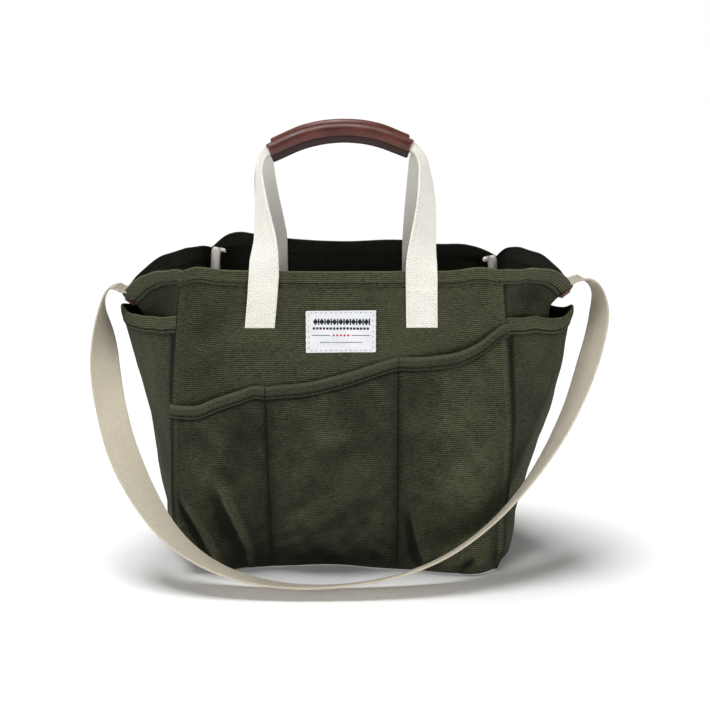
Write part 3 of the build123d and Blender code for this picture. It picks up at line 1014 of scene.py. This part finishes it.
FRONT_POCKET = Pocket(
    FRONT_WALL, dividers=[(-77, -72.5), (55.7, 56)],
    mouth=[(-172, 178), (-156, 178.6), (-141.7, 179.7), (-125.4, 186.7), (-100.4, 195.2), (-85.4, 199.5),
           (-77, 198), (-65.7, 199.4), (-34.4, 202.9), (-10, 208.8), (6.7, 213.1), (29.4, 220.6),
           (55.7, 228), (70.6, 228.6), (96.2, 231.2), (118.4, 235.5), (138.6, 245), (151, 253.7),
           (160, 259.5), (172, 262)],
    bays=[(13, 0.36, 0.45), (9, 0.5, 0.3), (13, 0.55, 0.5)],
    pleats=[([(-99, 0), (-102, 22), (-110, 46), (-119, 70), (-126, 92)], 11, 24, 115),
            ([(-127, 0), (-138, 25), (-151, 52), (-166, 82)], 11, 14, 110),
            ([(84, 0), (76, 25), (70, 51), (67, 75)], 8, 20, 92),
            ([(117, 0), (122, 5), (133, 15)], 6, 13, 26)])

BACK_POCKET = Pocket(
    BACK_WALL, dividers=[(-77, -75), (56, 56)],
    mouth=[(-176, 178), (-141, 180), (-100, 194), (-77, 198), (-34, 202.9), (6, 213), (56, 228), (96, 231),
           (138, 245), (170, 259)],
    bays=[(9, 0.45, 0.4), (9, 0.5, 0.35), (10, 0.5, 0.5)],
    pleats=[([(-118, 0), (-122, 40), (-130, 80)], 6, 18, 80), ([(96, 0), (90, 38), (84, 70)], 6, 16, 62)])

BINDING = 13.0
BAY_COLUMNS = 52
SEAM_COLUMNS = [3 + BAY_COLUMNS, 3 + 2 * BAY_COLUMNS]


def pocket_columns():
    """Places across the pocket, closer together at the seams, and distances past its sides."""
    bay = 0.5 - 0.5 * np.cos(np.linspace(0, np.pi, BAY_COLUMNS + 1))
    bay = 0.4 * bay + 0.6 * np.linspace(0, 1, BAY_COLUMNS + 1)
    p = np.concatenate([bay[:-1], 1 + bay[:-1], 2 + bay])
    edge = np.array([1.0, 0.66, 0.33]) * CORNER_ARC + np.array([1.5, 0, 0])
    p = np.concatenate([np.zeros(3), p, np.full(3, 3.0)])
    past = np.concatenate([-edge, np.zeros(3 * BAY_COLUMNS + 1), edge[::-1]])
    return p, past


def pocket_cloth(name, pocket, p, past, mouth, back):
    """The pocket's canvas, with painted shade low down, across its bays, at its seams and under the tape."""
    w = runs_between([0, 0.5, 0.9, 1], [46, 26, 14])
    z = np.maximum(mouth[None, :] * w[:, None], FOOT_Z)
    points = pocket.point(np.broadcast_to(p, z.shape), z, 0.0, np.broadcast_to(past, z.shape))
    x = points[..., 0]
    uvs = stack(np.broadcast_to(lengths_along(points, 1).mean(axis=0), z.shape), z + 0.05 * x)
    normals = grid_normals(points, OUT_FRONT)
    # Painted shade: darkest in the left bay, lighter in the middle and lightest in the right, with painted
    # shadow at the turned edges and just under the tape.
    broad_shade = 0.75 - 0.12 * ease((x + 72) / 15) - 0.34 * ease((x - 60) / 60) + edge_shade(past)
    shadow_below_tape = 0.8 * np.exp(-((mouth[None, :] - z - BINDING - 0.8) / 1.6) ** 2)
    painted_shading = 0.95 * creases(points, normals, 5, 2.2) + shade_towards_foot(points, 130.0) + broad_shade + shadow_below_tape
    # Painted shade along the seams of the dividers.
    painted_shading[:, SEAM_COLUMNS] = 1.2
    obj = cloth(name, turned(points, back), OLIVE, uvs=uvs, painted_shading=painted_shading)
    finish_piece(obj, "bag", "canvas", name)
    cut_sheet(points)
    return points


def pocket_tape(name, pocket, p, past, mouth, back):
    """Tape folded over the pocket's mouth: (height past it, lift) from inside to outside."""
    path = [(-BINDING, -1.3), (-BINDING * 0.6, -1.2), (-1.5, -1.2), (-0.2, -0.9), (0.5, -0.1), (0.1, 0.7),
            (-1.2, 1.15), (-BINDING * 0.3, 1.35), (-BINDING * 0.6, 1.25), (-BINDING * 0.8, 0.95),
            (-BINDING * 0.92, 1.1), (-BINDING, 1.0)]
    tape = np.array([pocket.point(p, mouth + height, lift, past) for height, lift in path])
    wear = np.zeros(tape.shape[:2])
    wear[3:7] = 0.5
    # Painted shade on the tape: a little overall, and dark along its sewn line and lower edge.
    shade = np.full(tape.shape[:2], 0.12)
    shade[-3] = 1.1
    shade[-1] = 0.7
    bound = cloth(name + "_binding", turned(tape, back), OLIVE_TAPE, 0.9, wear, painted_shading=shade)
    finish_piece(bound, "bag", "binding_tape", name + "_binding")
    cut_sheet(tape)
    return tape


def pocket_pieces(name, pocket, back, seams, binding_stitches):
    """The pocket's cloth, the tape bound over its sloping mouth, and the stitches of both."""
    p, past = pocket_columns()
    mouth = pocket.mouth(pocket.x_at(p, np.full(p.shape, 205.0)))
    points = pocket_cloth(name, pocket, p, past, mouth, back)
    tape = pocket_tape(name, pocket, p, past, mouth, back)
    outward = turned(OUT_FRONT, back)
    row = turned(tape[-3], back) - outward * 0.3
    binding_stitches.append((row[3:-3], np.tile(outward, (len(row) - 6, 1)), 4.1))
    for column in SEAM_COLUMNS:
        line = points[2:, column]
        line = line[line[:, 2] < mouth[column] - BINDING]
        run = turned(np.concatenate([line, tape[[-1, 7, 4], column]]) + OUT_FRONT * 1.1, back)
        seams.append((run, np.tile(outward, (len(run), 1)), 3.9))


# ---------------------------------------------------------------- base and seam bindings

def base_panel():
    """Flat floor of the bag, out to the foot of its walls."""
    u = np.linspace(0, 1, 40)
    level = np.full(u.shape, 3.0)
    front = FRONT_WALL.point(u, level)
    back = turned(BACK_WALL.point(u, level))
    s = np.linspace(0, 1, 30)
    foot = np.full(s.shape, 0.01)
    right = RIGHT_GUSSET.point(s, foot)
    left = LEFT_GUSSET.point(s, foot)
    ring = np.concatenate([front, right, back, left[::-1]])
    centre = ring.mean(axis=0)
    shares = np.linspace(0.05, 0.985, 14)
    points = np.array([centre + (ring - centre) * share for share in shares])
    points[..., 2] = 2.0 + ripple(points, 60, 0.8)
    rows, columns = points.shape[:2]
    faces = grid_faces(rows, columns, ring=True)
    hub = rows * columns
    faces += [(hub, (c + 1) % columns, c) for c in range(columns)]
    vertices = np.concatenate([points.reshape(-1, 3), [[centre[0], centre[1], 2.0]]])
    obj = new_object("base_panel", vertices, faces, OLIVE, vertices[:, :2])
    add_shade(obj, "wear", np.zeros(len(vertices)))
    add_shade(obj, "painted_shading", np.zeros(len(vertices)))
    thicken(obj, 1.8)
    finish_piece(obj, "bag", "canvas", "base_panel")


def section_sweep(name, centres, across, normals, section, material):
    """Closed section of (across, out) points carried along a row of centres."""
    section = np.asarray(section, float)
    points = np.array([centre + section[:, :1] * side + section[:, 1:] * out
                       for centre, side, out in zip(centres, across, normals)])
    rows, columns = points.shape[:2]
    faces = grid_faces(rows, columns, ring=True)
    faces.append(tuple(range(columns))[::-1])
    faces.append(tuple((rows - 1) * columns + c for c in range(columns)))
    uvs = stack(section[None, :, 0], travel(centres)[:, None] + section[:, 1] * 0.3)
    return new_object(name, points.reshape(-1, 3), faces, material, uvs.reshape(-1, 2))


def rounded_strip(width, thick):
    """Section of a folded tape: a thin rounded rectangle."""
    half = width / 2
    t = thick / 2
    return [(-half, 0), (-half + 0.5 * t, -t * 0.85), (-half + 2 * t, -t), (0, -t), (half - 2 * t, -t),
            (half - 0.5 * t, -t * 0.85), (half, 0), (half - 0.5 * t, t * 0.85), (half - 2 * t, t), (0, t),
            (-half + 2 * t, t), (-half + 0.5 * t, t * 0.85)]


def seam_binding(name, side, corners):
    """Cream tape over the inside seam: up both corners, with its cut ends folded at the rim."""
    pieces = []
    for column, way, top in corners:
        levels = np.concatenate([np.linspace(4, top - 10, 30), top + np.array([-5, -1.5, 1, 0.5, -3])])
        over = np.concatenate([np.zeros(30), [0.5, 1.5, 4, 7.5, 9.5]])
        place = column(levels)
        inward = unit(np.array([-side * 1.0, way * 1.0, 0.0]))
        tangent = np.array([inward[1], -inward[0], 0.0])
        centres = []
        for i, z in enumerate(levels):
            x = place[i][0] - side * 8.0
            y = place[i][1] + way * 8.5
            wobble = 0.8 * math.sin(z * 0.11 + way)
            centres.append(np.array([x, y, z]) + inward * (3.0 + over[i]) + tangent * wobble)
        across = [inward] * len(centres)
        normals = [tangent] * len(centres)
        for k, tilt in zip(range(-5, 0), (0.15, 0.4, 0.9, 1.5, 2.0)):
            normals[k] = unit(tangent + np.array([0, 0, 0.2 * tilt]))
        leg = rounded_strip(15.0, 3.4)
        pieces.append(section_sweep(name + "_leg", centres, across, normals, leg, CREAM_TAPE))
    front, back = (np.array([*corner[0](3.0), 3.6]) for corner in corners)
    reach = side * 168.0
    run = [front + np.array([-side * 10, 8, 1]), np.array([reach, -6, 4.6]), np.array([reach, 6, 4.6]),
           back + np.array([-side * 10, -8, 1])]
    path = smooth([0, 0.46, 0.54, 1], run)(np.linspace(0, 1, 40))
    along = unit(np.gradient(path, axis=0))
    up = np.tile([0.0, 0.0, 1.0], (40, 1))
    strip = rounded_strip(10.5, 2.0)
    pieces.append(section_sweep(name + "_run", path, np.cross(up, along), up, strip, CREAM_TAPE))
    return joined(name, pieces)


def joined(name, objects):
    """One mesh from several, so that a piece that is one thing stays one piece."""
    vertices = []
    faces = []
    uvs = []
    for obj in objects:
        first = len(vertices)
        mesh = obj.data
        loops = {}
        layer = mesh.uv_layers.get("weave")
        if layer:
            for loop, data in zip(mesh.loops, layer.data):
                loops[loop.vertex_index] = tuple(data.uv)
        vertices += [np.array(v.co) / MM for v in mesh.vertices]
        uvs += [np.array(loops.get(i, (0, 0))) / MM for i in range(len(mesh.vertices))]
        faces += [tuple(first + i for i in polygon.vertices) for polygon in mesh.polygons]
        material = mesh.materials[0]
        bpy.data.objects.remove(obj)
    return new_object(name, vertices, faces, material, uvs)


# ---------------------------------------------------------------- webbing

def web_section(width, thick):
    """Outline of woven webbing: thicker margins along both edges."""
    half = width / 2
    t = thick / 2
    upper = [(half, 0), (half - 0.35, 0.75 * t), (half - 1.1, 1.12 * t), (half - 2.6, 1.12 * t),
             (half - 3.5, 0.86 * t), (half * 0.5, 0.9 * t), (0, 0.92 * t)]
    top = upper + [(-x, y) for x, y in reversed(upper[:-1])]
    bottom = [(x, -y) for x, y in reversed(top[1:-1])]
    return np.array(top + bottom)


def web_mesh(name, centres, across, normals, width, curl, material=CREAM_WEB, start=0.0):
    """Webbing along a row of centres. curl is the angle that its width rolls up through."""
    section = web_section(WEB_WIDTH, WEB_THICK)
    rings = []
    for i in range(len(centres)):
        share = width[i] / WEB_WIDTH
        a = section[:, 0] * share
        t = section[:, 1]
        bend = curl[i]
        if abs(bend) > 1e-3:
            k = bend / width[i]
            side = np.sin(a * k) / k - t * np.sin(a * k)
            out = (1 - np.cos(a * k)) / k + t * np.cos(a * k)
            out = out - (1 - math.cos(bend / 2)) / k * 0.5
        else:
            side, out = a, t
        rings.append(centres[i] + side[:, None] * across[i] + out[:, None] * normals[i])
    points = np.array(rings)
    rows, columns = points.shape[:2]
    faces = grid_faces(rows, columns, ring=True)
    half = len(section) // 2
    for first in (0, (rows - 1) * columns):
        for c in range(half):
            corners = (c, c + 1, (columns - c - 1) % columns, (columns - c) % columns)
            quad = tuple(dict.fromkeys(first + corner for corner in corners))
            if len(quad) > 2:
                faces.append(quad if first == 0 else quad[::-1])
    uvs = stack(section[None, :, 0], start + travel(centres)[:, None])
    obj = new_object(name, points.reshape(-1, 3), faces, material, uvs.reshape(-1, 2))
    soften(obj)
    return obj


class Handle:
    """One carry handle: webbing sewn to the wall, up to a leather grip and down again."""

    def __init__(self, hinge, lean, sewn_low, slants, left, right, grip):
        self.hinge = hinge
        self.sign = 1 if hinge[1] < 0 else -1
        self.lean = math.radians(lean)
        self.sewn_low = sewn_low
        self.slants = slants
        self.left = left
        self.right = right
        self.grip = grip

    def place(self, x, height, out=0.0):
        """Point of the loop's own leaning plane. out is square to the plane, away from the bag."""
        y = self.hinge[1] + self.sign * (height * math.sin(self.lean) - out * math.cos(self.lean))
        z = self.hinge[2] + height * math.cos(self.lean) + out * math.sin(self.lean)
        return stack(x, y, z)


def leg_curve(rows, steps=70):
    """Smooth run of (x, height, out, twist, width, curl) rows, at even steps."""
    table = smooth(np.arange(len(rows)), rows)
    return table(np.linspace(0, len(rows) - 1, steps))


# Each row of a leg is a place across the bag, a height up the loop, a distance out of its plane,
# and the webbing's turn, width and curl there.
FRONT_HANDLE = Handle(
    FRONT_HINGE, 29.4, 258.0, slants=(-5.2, 1.2),
    left=[(-75.2, 7, 4.6, 12, 29.5, 0), (-75.4, 22, 3.0, 31, 30.5, 0), (-76.4, 38, 1.0, 44, 31, 0),
          (-80.0, 66, 0, 60, 31, 10), (-83.0, 96, 0, 74, 30, 30), (-82.3, 110, 0, 82, 27, 110),
          (-79.0, 119, 0, 90, 24, 200),
          (-73.0, 124.9, 0, 90, 21, 270), (-65.5, 129.2, 0, 90, 20, 285), (-58, 132.9, 0, 90, 20, 285)],
    right=[(76.9, 8, 3.0, 14, 31, 0), (79.2, 30, 1.5, 30, 31, 0), (83.0, 66, 0, 48, 31, 10),
           (83.2, 98, 0, 62, 30, 30), (81.6, 112, 0, 72, 27, 110), (77.0, 122.3, 0, 84, 24, 200),
           (69.5, 129.2, 0, 90, 21, 270), (62.5, 132.4, 0, 90, 20, 285), (55, 135.6, 0, 90, 20, 285)],
    grip=[(-73.5, 124.6), (-38, 140.8), (-4, 147), (34, 143), (69, 129.4)])

BACK_HANDLE = Handle(
    BACK_HINGE, 26.0, 259.0, slants=(0.0, 0.0),
    left=[(-77.2, 8, 0, 12, 31, 0), (-79.5, 30, 0, 24, 31, 0), (-82.5, 62, 0, 40, 31, 10),
          (-83.5, 94, 0, 52, 30, 30), (-82.0, 107, 0, 66, 27, 110), (-78.0, 116, 0, 80, 24, 200),
          (-71.5, 121.7, 0, 90, 21, 270), (-64.0, 126.0, 0, 90, 20, 285), (-57, 129.7, 0, 90, 20, 285)],
    right=[(80.2, 8, 0, 10, 31, 0), (80.4, 30, 0, 18, 31, 0), (81.0, 62, 0, 30, 31, 10),
           (80.5, 94, 0, 46, 30, 30), (79.0, 108, 0, 62, 27, 110), (74.5, 118.5, 0, 78, 24, 200),
           (67.0, 125.3, 0, 90, 21, 270), (60.0, 128.6, 0, 90, 20, 285), (53, 131.9, 0, 90, 20, 285)],
    grip=[(-72, 121.5), (-38, 137.5), (-3, 143.5), (34, 139.5), (66.5, 125.5)])


def handle_leg(name, handle, side, body, nodes, stitches):
    """Webbing from its sewn end on the wall, over the rim and up into the grip."""
    rows = leg_curve(handle.left if side < 0 else handle.right)
    slant = handle.slants[0 if side < 0 else 1]
    count = 26
    t = np.linspace(0, 1, count)
    z = handle.sewn_low + (handle.hinge[2] - 3 - handle.sewn_low) * t
    x = rows[0, 0] + slant * (1 - t)
    if handle.sign > 0:
        over_hem = ease((z - RIM_Z + HEM + 6) / 6)
        sewn = FRONT_WALL.on_face(x, z, 1.9 + 2.6 * over_hem)
    else:
        sewn = turned(BACK_WALL.on_face(-x, z, -1.9))
    free = handle.place(rows[:, 0], rows[:, 1], rows[:, 2])
    centres = np.concatenate([sewn, free])
    twist = np.radians(np.concatenate([np.zeros(count), rows[:, 3]]))
    width = np.concatenate([np.full(count, rows[0, 4]), rows[:, 4]])
    curl = np.radians(np.concatenate([np.zeros(count), rows[:, 5]]))
    for _ in range(3):
        centres[count - 4:count + 6] = (centres[count - 5:count + 5] + centres[count - 4:count + 6] * 2
                                        + centres[count - 3:count + 7]) / 4
        twist[count - 6:count + 8] = (twist[count - 7:count + 7] + twist[count - 6:count + 8]
                                      + twist[count - 5:count + 9]) / 3
    along = unit(np.gradient(centres, axis=0))
    sideways = unit(np.cross(along, np.tile([0, 1.0, 0], (len(along), 1))))
    sideways = sideways * np.sign(sideways[:, :1] * side)
    level = ease((np.arange(len(along)) - count + 8) / 14.0)[:, None]
    sideways = unit(np.array([float(side), 0, 0]) * (1 - level) + sideways * level)
    depth = unit(np.cross(sideways, along)) * side
    depth = depth * np.sign(depth[:, 1:2] * handle.sign)
    across = sideways * np.cos(twist)[:, None] + depth * np.sin(twist)[:, None]
    normals = unit(np.cross(across, along))
    normals = normals * np.sign(np.sum(normals[5] * OUT_FRONT * handle.sign))
    obj = web_mesh(name, centres, across * side, normals, width, -curl)
    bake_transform(obj)
    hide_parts(*nodes)
    margin = WEB_WIDTH / 2 - 3.0
    for way in (-1, 1):
        line = sewn + across[:count] * side * margin * way + normals[:count] * (WEB_THICK / 2 + 0.15)
        stitches.append((line[1:-3], normals[1:count - 3], 4.6))
    low = sewn[1] + normals[1] * (WEB_THICK / 2 + 0.15)
    ends = np.array([low - across[1] * margin, low + across[1] * margin]) + np.array([0, 0, 2.0])
    stitches.append((ends, np.tile(normals[1], (2, 1)), 4.6))
    inner = centres - across * margin * (width / WEB_WIDTH)[:, None] + normals * (WEB_THICK / 2 + 0.1)
    reach = count + int(0.62 * len(rows))
    return (inner[count + 8:reach], normals[count + 8:reach], 4.8)


def grip_section():
    """Leather's path round the webbing: up the back of the flange, round and down the front."""
    radius = 6.3
    angles = np.radians(np.linspace(-58, 238, 22))
    tube = [(radius * math.cos(a), radius * math.sin(a)) for a in angles]
    front = [(2.6, -6.6), (1.7, -7.5), (2.1, -8.5), (2.7, -9.4), (2.4, -10.8), (1.8, -12.6)]
    back = [(-x, y) for x, y in front]
    return np.array(front[::-1] + tube + back)


def grip_piece(name, handle, body, node, flange_stitches):
    """Leather sleeve with its two edges sewn together below it."""
    x = np.linspace(handle.grip[0][0], handle.grip[-1][0], 64)
    centres = handle.place(x, through(handle.grip)(x))
    along = unit(np.gradient(centres, axis=0))
    out = handle.place(0.0, 0.0, 1.0) - handle.place(0.0, 0.0, 0.0)
    out = np.tile(out, (len(x), 1))
    up = unit(np.cross(along, out))
    up = up * np.sign(up[:, 2:3])
    section = grip_section()
    grid = np.array([centre + section[:, :1] * o + section[:, 1:] * u
                     for centre, o, u in zip(centres, out, up)])
    grid = grid + out[:, None, :] * ripple(grid, 14, 0.35, 6)[..., None]
    wear = np.zeros(grid.shape[:2])
    wear[:, 13:21] = 0.35
    wear[[0, -1]] = 0.5
    wear[:, [0, -1]] = 0.4
    obj = cloth(name, grid, LEATHER, 1.5, wear)
    # The flange under the grip gets the darker copy of the leather, as painted shade.
    obj.data.materials.append(SHADED_LEATHER)
    columns = grid.shape[1]
    for polygon in obj.data.polygons:
        column = polygon.index % (columns - 1)
        if min(column, columns - 2 - column) < 5:
            polygon.material_index = 1
    finish_piece(obj, body, "leather", node)
    for way in (1, -1):
        row = centres + way * out * 3.2 - up * 10.2
        flange_stitches.append((row[1:-1], way * out[1:-1], 3.9))
    inner = np.stack([centres - up * 7.5, centres - up * 13.6], axis=1)[1:-1]
    # The filler between the flange's layers is the darker copy of the leather, painted shade.
    finish_piece(cloth(name + "_flange_filler", inner, SHADED_LEATHER, 2.2), body, "leather")


# ---------------------------------------------------------------- shoulder strap

STRAP_LEAN = math.radians(26.5)
STRAP_ROUTE = [(-235, -6), (-243, -5.5), (-250, -20), (-247, -52), (-243, -112), (-219, -196), (-160, -283),
               (-62, -318), (68, -306), (158, -250), (226, -158), (264, -56), (267, -15), (258, 2), (246, 3)]


def strap_point(x, drop):
    """Point of the plane that the shoulder strap hangs in."""
    return np.array([x, drop * math.sin(STRAP_LEAN), STRAP_PIVOT_Z + drop * math.cos(STRAP_LEAN)])


def strap_path():
    """Points of the strap's smooth line, read from a spline through its route."""
    curve = bpy.data.curves.new("strap_line", "CURVE")
    curve.dimensions = "3D"
    spline = curve.splines.new("NURBS")
    spline.points.add(len(STRAP_ROUTE) - 1)
    for point, (x, drop) in zip(spline.points, STRAP_ROUTE):
        point.co = (*(strap_point(x, drop) * MM), 1)
    spline.order_u = 3
    spline.use_endpoint_u = True
    spline.resolution_u = 16
    holder = bpy.data.objects.new("strap_line", curve)
    bpy.context.collection.objects.link(holder)
    bpy.context.view_layer.update()
    mesh = bpy.data.meshes.new_from_object(holder)
    points = np.array([v.co[:] for v in mesh.vertices]) / MM
    bpy.data.objects.remove(holder)
    return points


STRAP_TURNS = smooth([0, 0.025, 0.06, 0.12, 0.18, 0.25, 0.34, 0.45, 0.6, 0.72, 0.83, 0.91, 0.955, 0.985, 1],
                     [-26.5, -10, 30, 78, 84, 54, 24, 8, 4, 7, 26, 36, 24, -8, -26.5])


def strap_frames(points):
    """The web's sideways direction and normal at each point of its line."""
    travelled = travel(points)
    along = unit(np.gradient(points, axis=0))
    square = np.tile([0.0, math.cos(STRAP_LEAN), -math.sin(STRAP_LEAN)], (len(points), 1))
    outward = unit(np.cross(along, square))
    from_middle = points - strap_point(8, -140)
    outward = outward * np.sign(np.sum(outward * from_middle, axis=1, keepdims=True))
    turn = np.radians(STRAP_TURNS(travelled / travelled[-1]))[:, None]
    across = square * np.cos(turn) - outward * np.sin(turn)
    return across, unit(np.cross(across, along))


def shoulder_strap():
    points = strap_path()
    across, normals = strap_frames(points)
    width = np.full(len(points), WEB_WIDTH)
    obj = web_mesh("shoulder_strap_web", points, across, normals, width, width * 0, SHADED_STRAP_WEB, start=40.0)
    finish_piece(obj, "shoulder_strap", "webbing", "shoulder_strap")
    return points, across


def strap_end(name, side, shape, joint_point, joint_across):
    """Sewn end of the strap: up the inside of the fold, over the rim and out to the free strap."""
    tip = shape.point(np.array(0.5), np.array(1.0))
    y = joint_point[1]
    stations = [np.array([tip[0] - side * inset, y, tip[2] - drop])
                for inset, drop in ((34, 31), (31, 21), (23, 10), (13, 1.5), (5, -1.5))]
    stations.append(np.array([tip[0] + side * 1.0, y, tip[2] + 2.6]))
    if abs(joint_point[0]) > abs(tip[0]) + 4:
        stations.append(np.array([(tip[0] + joint_point[0]) / 2, y, (tip[2] + 3.0 + joint_point[2]) / 2]))
    stations.append(joint_point)
    keys = travel(np.array(stations))
    path = smooth(keys, stations)(np.linspace(0, keys[-1], 44))
    path[-1] = joint_point
    along = unit(np.gradient(path, axis=0))
    flat = np.tile([0.0, 1.0, 0.0], (len(path), 1))
    share = np.linspace(0, 1, len(path))[:, None]
    blend = ease((share - 0.8) / 0.2)
    across = unit(flat * (1 - blend) + joint_across * np.sign(joint_across[1]) * blend)
    across = unit(across - along * np.sum(across * along, axis=1, keepdims=True))
    normals = unit(np.cross(across, along))
    normals = normals * np.sign(normals[-14, 2])
    share = share[:, 0]
    curl = np.radians(np.interp(share, [0, 0.45, 0.72, 0.85, 1], [125, 95, 65, 35, 0]))
    obj = web_mesh(name, path, across, normals, np.full(len(path), WEB_WIDTH), curl, SHADED_STRAP_WEB)
    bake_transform(obj)
    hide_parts(name)


def leather_tab(name, shape):
    """Leather patch wrapped round the outside of the fold, under the strap."""
    s = np.linspace(0.45, 0.55, 22)
    v = np.linspace(0.957, 0.983, 9)
    points = shape.point(*np.broadcast_arrays(s[None, :], v[:, None]))
    points = points + grid_normals(points, np.array([float(shape.side), 0, 0])) * 3.7
    finish_piece(cloth(name, points, LEATHER, 1.3), "bag", "leather", name)


# ---------------------------------------------------------------- label

def label_pieces():
    centre_x = (LABEL_LOW[0] + LABEL_HIGH[0]) / 2 - 1.2
    centre_z = (LABEL_LOW[2] + LABEL_HIGH[2]) / 2
    half_w = (LABEL_HIGH[0] - LABEL_LOW[0]) / 2 - 0.6
    half_h = (LABEL_HIGH[2] - LABEL_LOW[2]) / 2
    a = np.linspace(-1, 1, 36)
    b = np.linspace(-1, 1, 22)
    grid_a, grid_b = np.broadcast_arrays(a[None, :], b[:, None])
    fray = 0.35 * np.sin(grid_b * 21) * (np.abs(grid_a) > 0.99)
    fray = fray + 0.3 * np.sin(grid_a * 33) * (np.abs(grid_b) > 0.99)
    x = centre_x + half_w * grid_a + fray
    z = centre_z + half_h * grid_b + 0.3 * grid_a
    edge = np.maximum(np.abs(grid_a), np.abs(grid_b))
    lift = 1.9 + 0.5 * ease((edge - 0.9) / 0.1) - 0.5 * np.exp(-((edge - 0.9) / 0.05) ** 2)
    points = FRONT_WALL.on_face(x, z, lift)
    obj = cloth("label", points, LABEL_CLOTH, 0.6)
    finish_piece(obj, "bag", "label_cloth", "label")
    cut_sheet(points)
    inset = 0.915
    corners = [(-inset, -inset * 0.98), (inset, -inset * 0.98), (inset, inset * 0.98), (-inset, inset * 0.98)]
    runs = []
    for (a0, b0), (a1, b1) in zip(corners, corners[1:] + corners[:1]):
        t = np.linspace(0, 1, 24)
        xs = centre_x + half_w * (a0 + (a1 - a0) * t)
        zs = centre_z + half_h * (b0 + (b1 - b0) * t) + 0.3 * (a0 + (a1 - a0) * t)
        runs.append((FRONT_WALL.on_face(xs, zs, 2.35), np.tile(OUT_FRONT, (24, 1)), 4.8))
    seam = stitch_mesh("label_stitches", runs, GREY_THREAD, 0.42, 0.36)
    finish_piece(seam, "bag", "label_cloth")
    marks(centre_x, centre_z)


def mark(x, z, width, height, shape="bar"):
    """Outline of one woven mark on the label."""
    if shape == "diamond":
        return [(x - width / 2, z), (x, z - height / 2), (x + width / 2, z), (x, z + height / 2)]
    return [(x - width / 2, z - height / 2), (x + width / 2, z - height / 2),
            (x + width / 2, z + height / 2), (x - width / 2, z + height / 2)]


def marks(cx, cz):
    """Plain woven ornament in four rows: no letters."""
    dark = []
    for i in range(9):
        dark.append(mark(cx + (i - 4) * 6.2, cz + 9.8, 5.2, 6.6, "diamond"))
        dark.append(mark(cx + (i - 4) * 6.2 + 3.1, cz + 9.8, 1.3, 6.2))
    for i in range(17):
        dark.append(mark(cx + (i - 8) * 3.3, cz + 3.2, 2.3, 2.2))
    for i in range(9):
        for way in (-1, 1):
            dark.append(mark(cx + way * (11.5 + i * 2), cz - 3.6, 2.0, 0.6))
    for i in range(21):
        dark.append(mark(cx + (i - 10) * 2.0, cz - 10.8, 1.1, 0.9))
    red = [mark(cx + (i - 2) * 3.6, cz - 3.6, 2.6, 2.4, "diamond") for i in range(5)]
    for name, outlines, material in (("label_dark_marks", dark, INK_THREAD),
                                     ("label_red_marks", red, CRIMSON_THREAD)):
        vertices = []
        faces = []
        for outline in outlines:
            first = len(vertices)
            for lift in (2.05, 2.4):
                xs = np.array([p[0] for p in outline])
                zs = np.array([p[1] for p in outline])
                vertices += list(FRONT_WALL.on_face(xs, zs, lift))
            faces.append((first + 3, first + 2, first + 1, first))
            faces.append((first + 4, first + 5, first + 6, first + 7))
            for i in range(4):
                j = (i + 1) % 4
                faces.append((first + i, first + j, first + 4 + j, first + 4 + i))
        obj = new_object(name, vertices, faces, material)
        finish_piece(obj, "bag", "label_cloth")


# ---------------------------------------------------------------- assembly

def main():
    make_camera()
    make_studio()

    points, across = shoulder_strap()
    strap_end("left_strap_end", -1, LEFT_GUSSET, points[0], across[0])
    strap_end("right_strap_end", 1, RIGHT_GUSSET, points[-1], across[-1])

    olive_runs = []
    panel("front_panel", FRONT_WALL, False, olive_runs)
    panel("back_panel", BACK_WALL, True, olive_runs)
    gusset_panel("left_gusset", LEFT_GUSSET, olive_runs)
    gusset_panel("right_gusset", RIGHT_GUSSET, olive_runs)
    side_pocket("left_side_pocket", LEFT_POCKET_SHAPE, LEFT_MOUTH, olive_runs)
    side_pocket("right_side_pocket", RIGHT_POCKET_SHAPE, RIGHT_MOUTH, olive_runs)
    seams = []
    pocket_pieces("front_pocket", FRONT_POCKET, False, seams, olive_runs)
    pocket_pieces("back_pocket", BACK_POCKET, True, seams, olive_runs)
    base_panel()
    finish_piece(stitch_mesh("hem_stitches", olive_runs, OLIVE_THREAD, 0.62, 0.7, 1.0), "bag", "canvas")
    finish_piece(stitch_mesh("divider_stitches", seams, DARK_THREAD, 0.72, 0.7, 0.3), "bag", "canvas")

    for name, shape, back_top in (("left_seam_binding", LEFT_GUSSET, 311.0),
                                  ("right_seam_binding", RIGHT_GUSSET, 301.0)):
        corners = [(shape.front, 1, 309.0), (shape.back, -1, back_top)]
        finish_piece(seam_binding(name, shape.side, corners), "bag", "seam_tape", name)

    cream_runs = []
    free_runs = {"front_handle": [], "back_handle": []}
    for handle, body in ((FRONT_HANDLE, "front_handle"), (BACK_HANDLE, "back_handle")):
        for side, word in ((-1, "left"), (1, "right")):
            nodes = [body + "_anchor_" + word, body + "_webbing"]
            free = handle_leg(body + "_web_" + word, handle, side, body, nodes, cream_runs)
            free_runs[body].append(free)
    finish_piece(stitch_mesh("web_stitches", cream_runs, CREAM_THREAD, 0.62, 0.48, 0.05), "bag", "webbing")
    for body, runs in free_runs.items():
        stitches = stitch_mesh(body + "_web_stitches", runs, CREAM_THREAD, 0.72, 0.62, 0.2)
        finish_piece(stitches, body, "webbing")

    for handle, body in ((FRONT_HANDLE, "front_handle"), (BACK_HANDLE, "back_handle")):
        flange_runs = []
        name = body.replace("handle", "grip")
        grip_piece(name, handle, body, name, flange_runs)
        finish_piece(stitch_mesh(name + "_stitches", flange_runs, BROWN_THREAD, 0.62, 0.55), body, "leather")

    leather_tab("left_leather_tab", LEFT_GUSSET)
    leather_tab("right_leather_tab", RIGHT_GUSSET)
    label_pieces()


main()
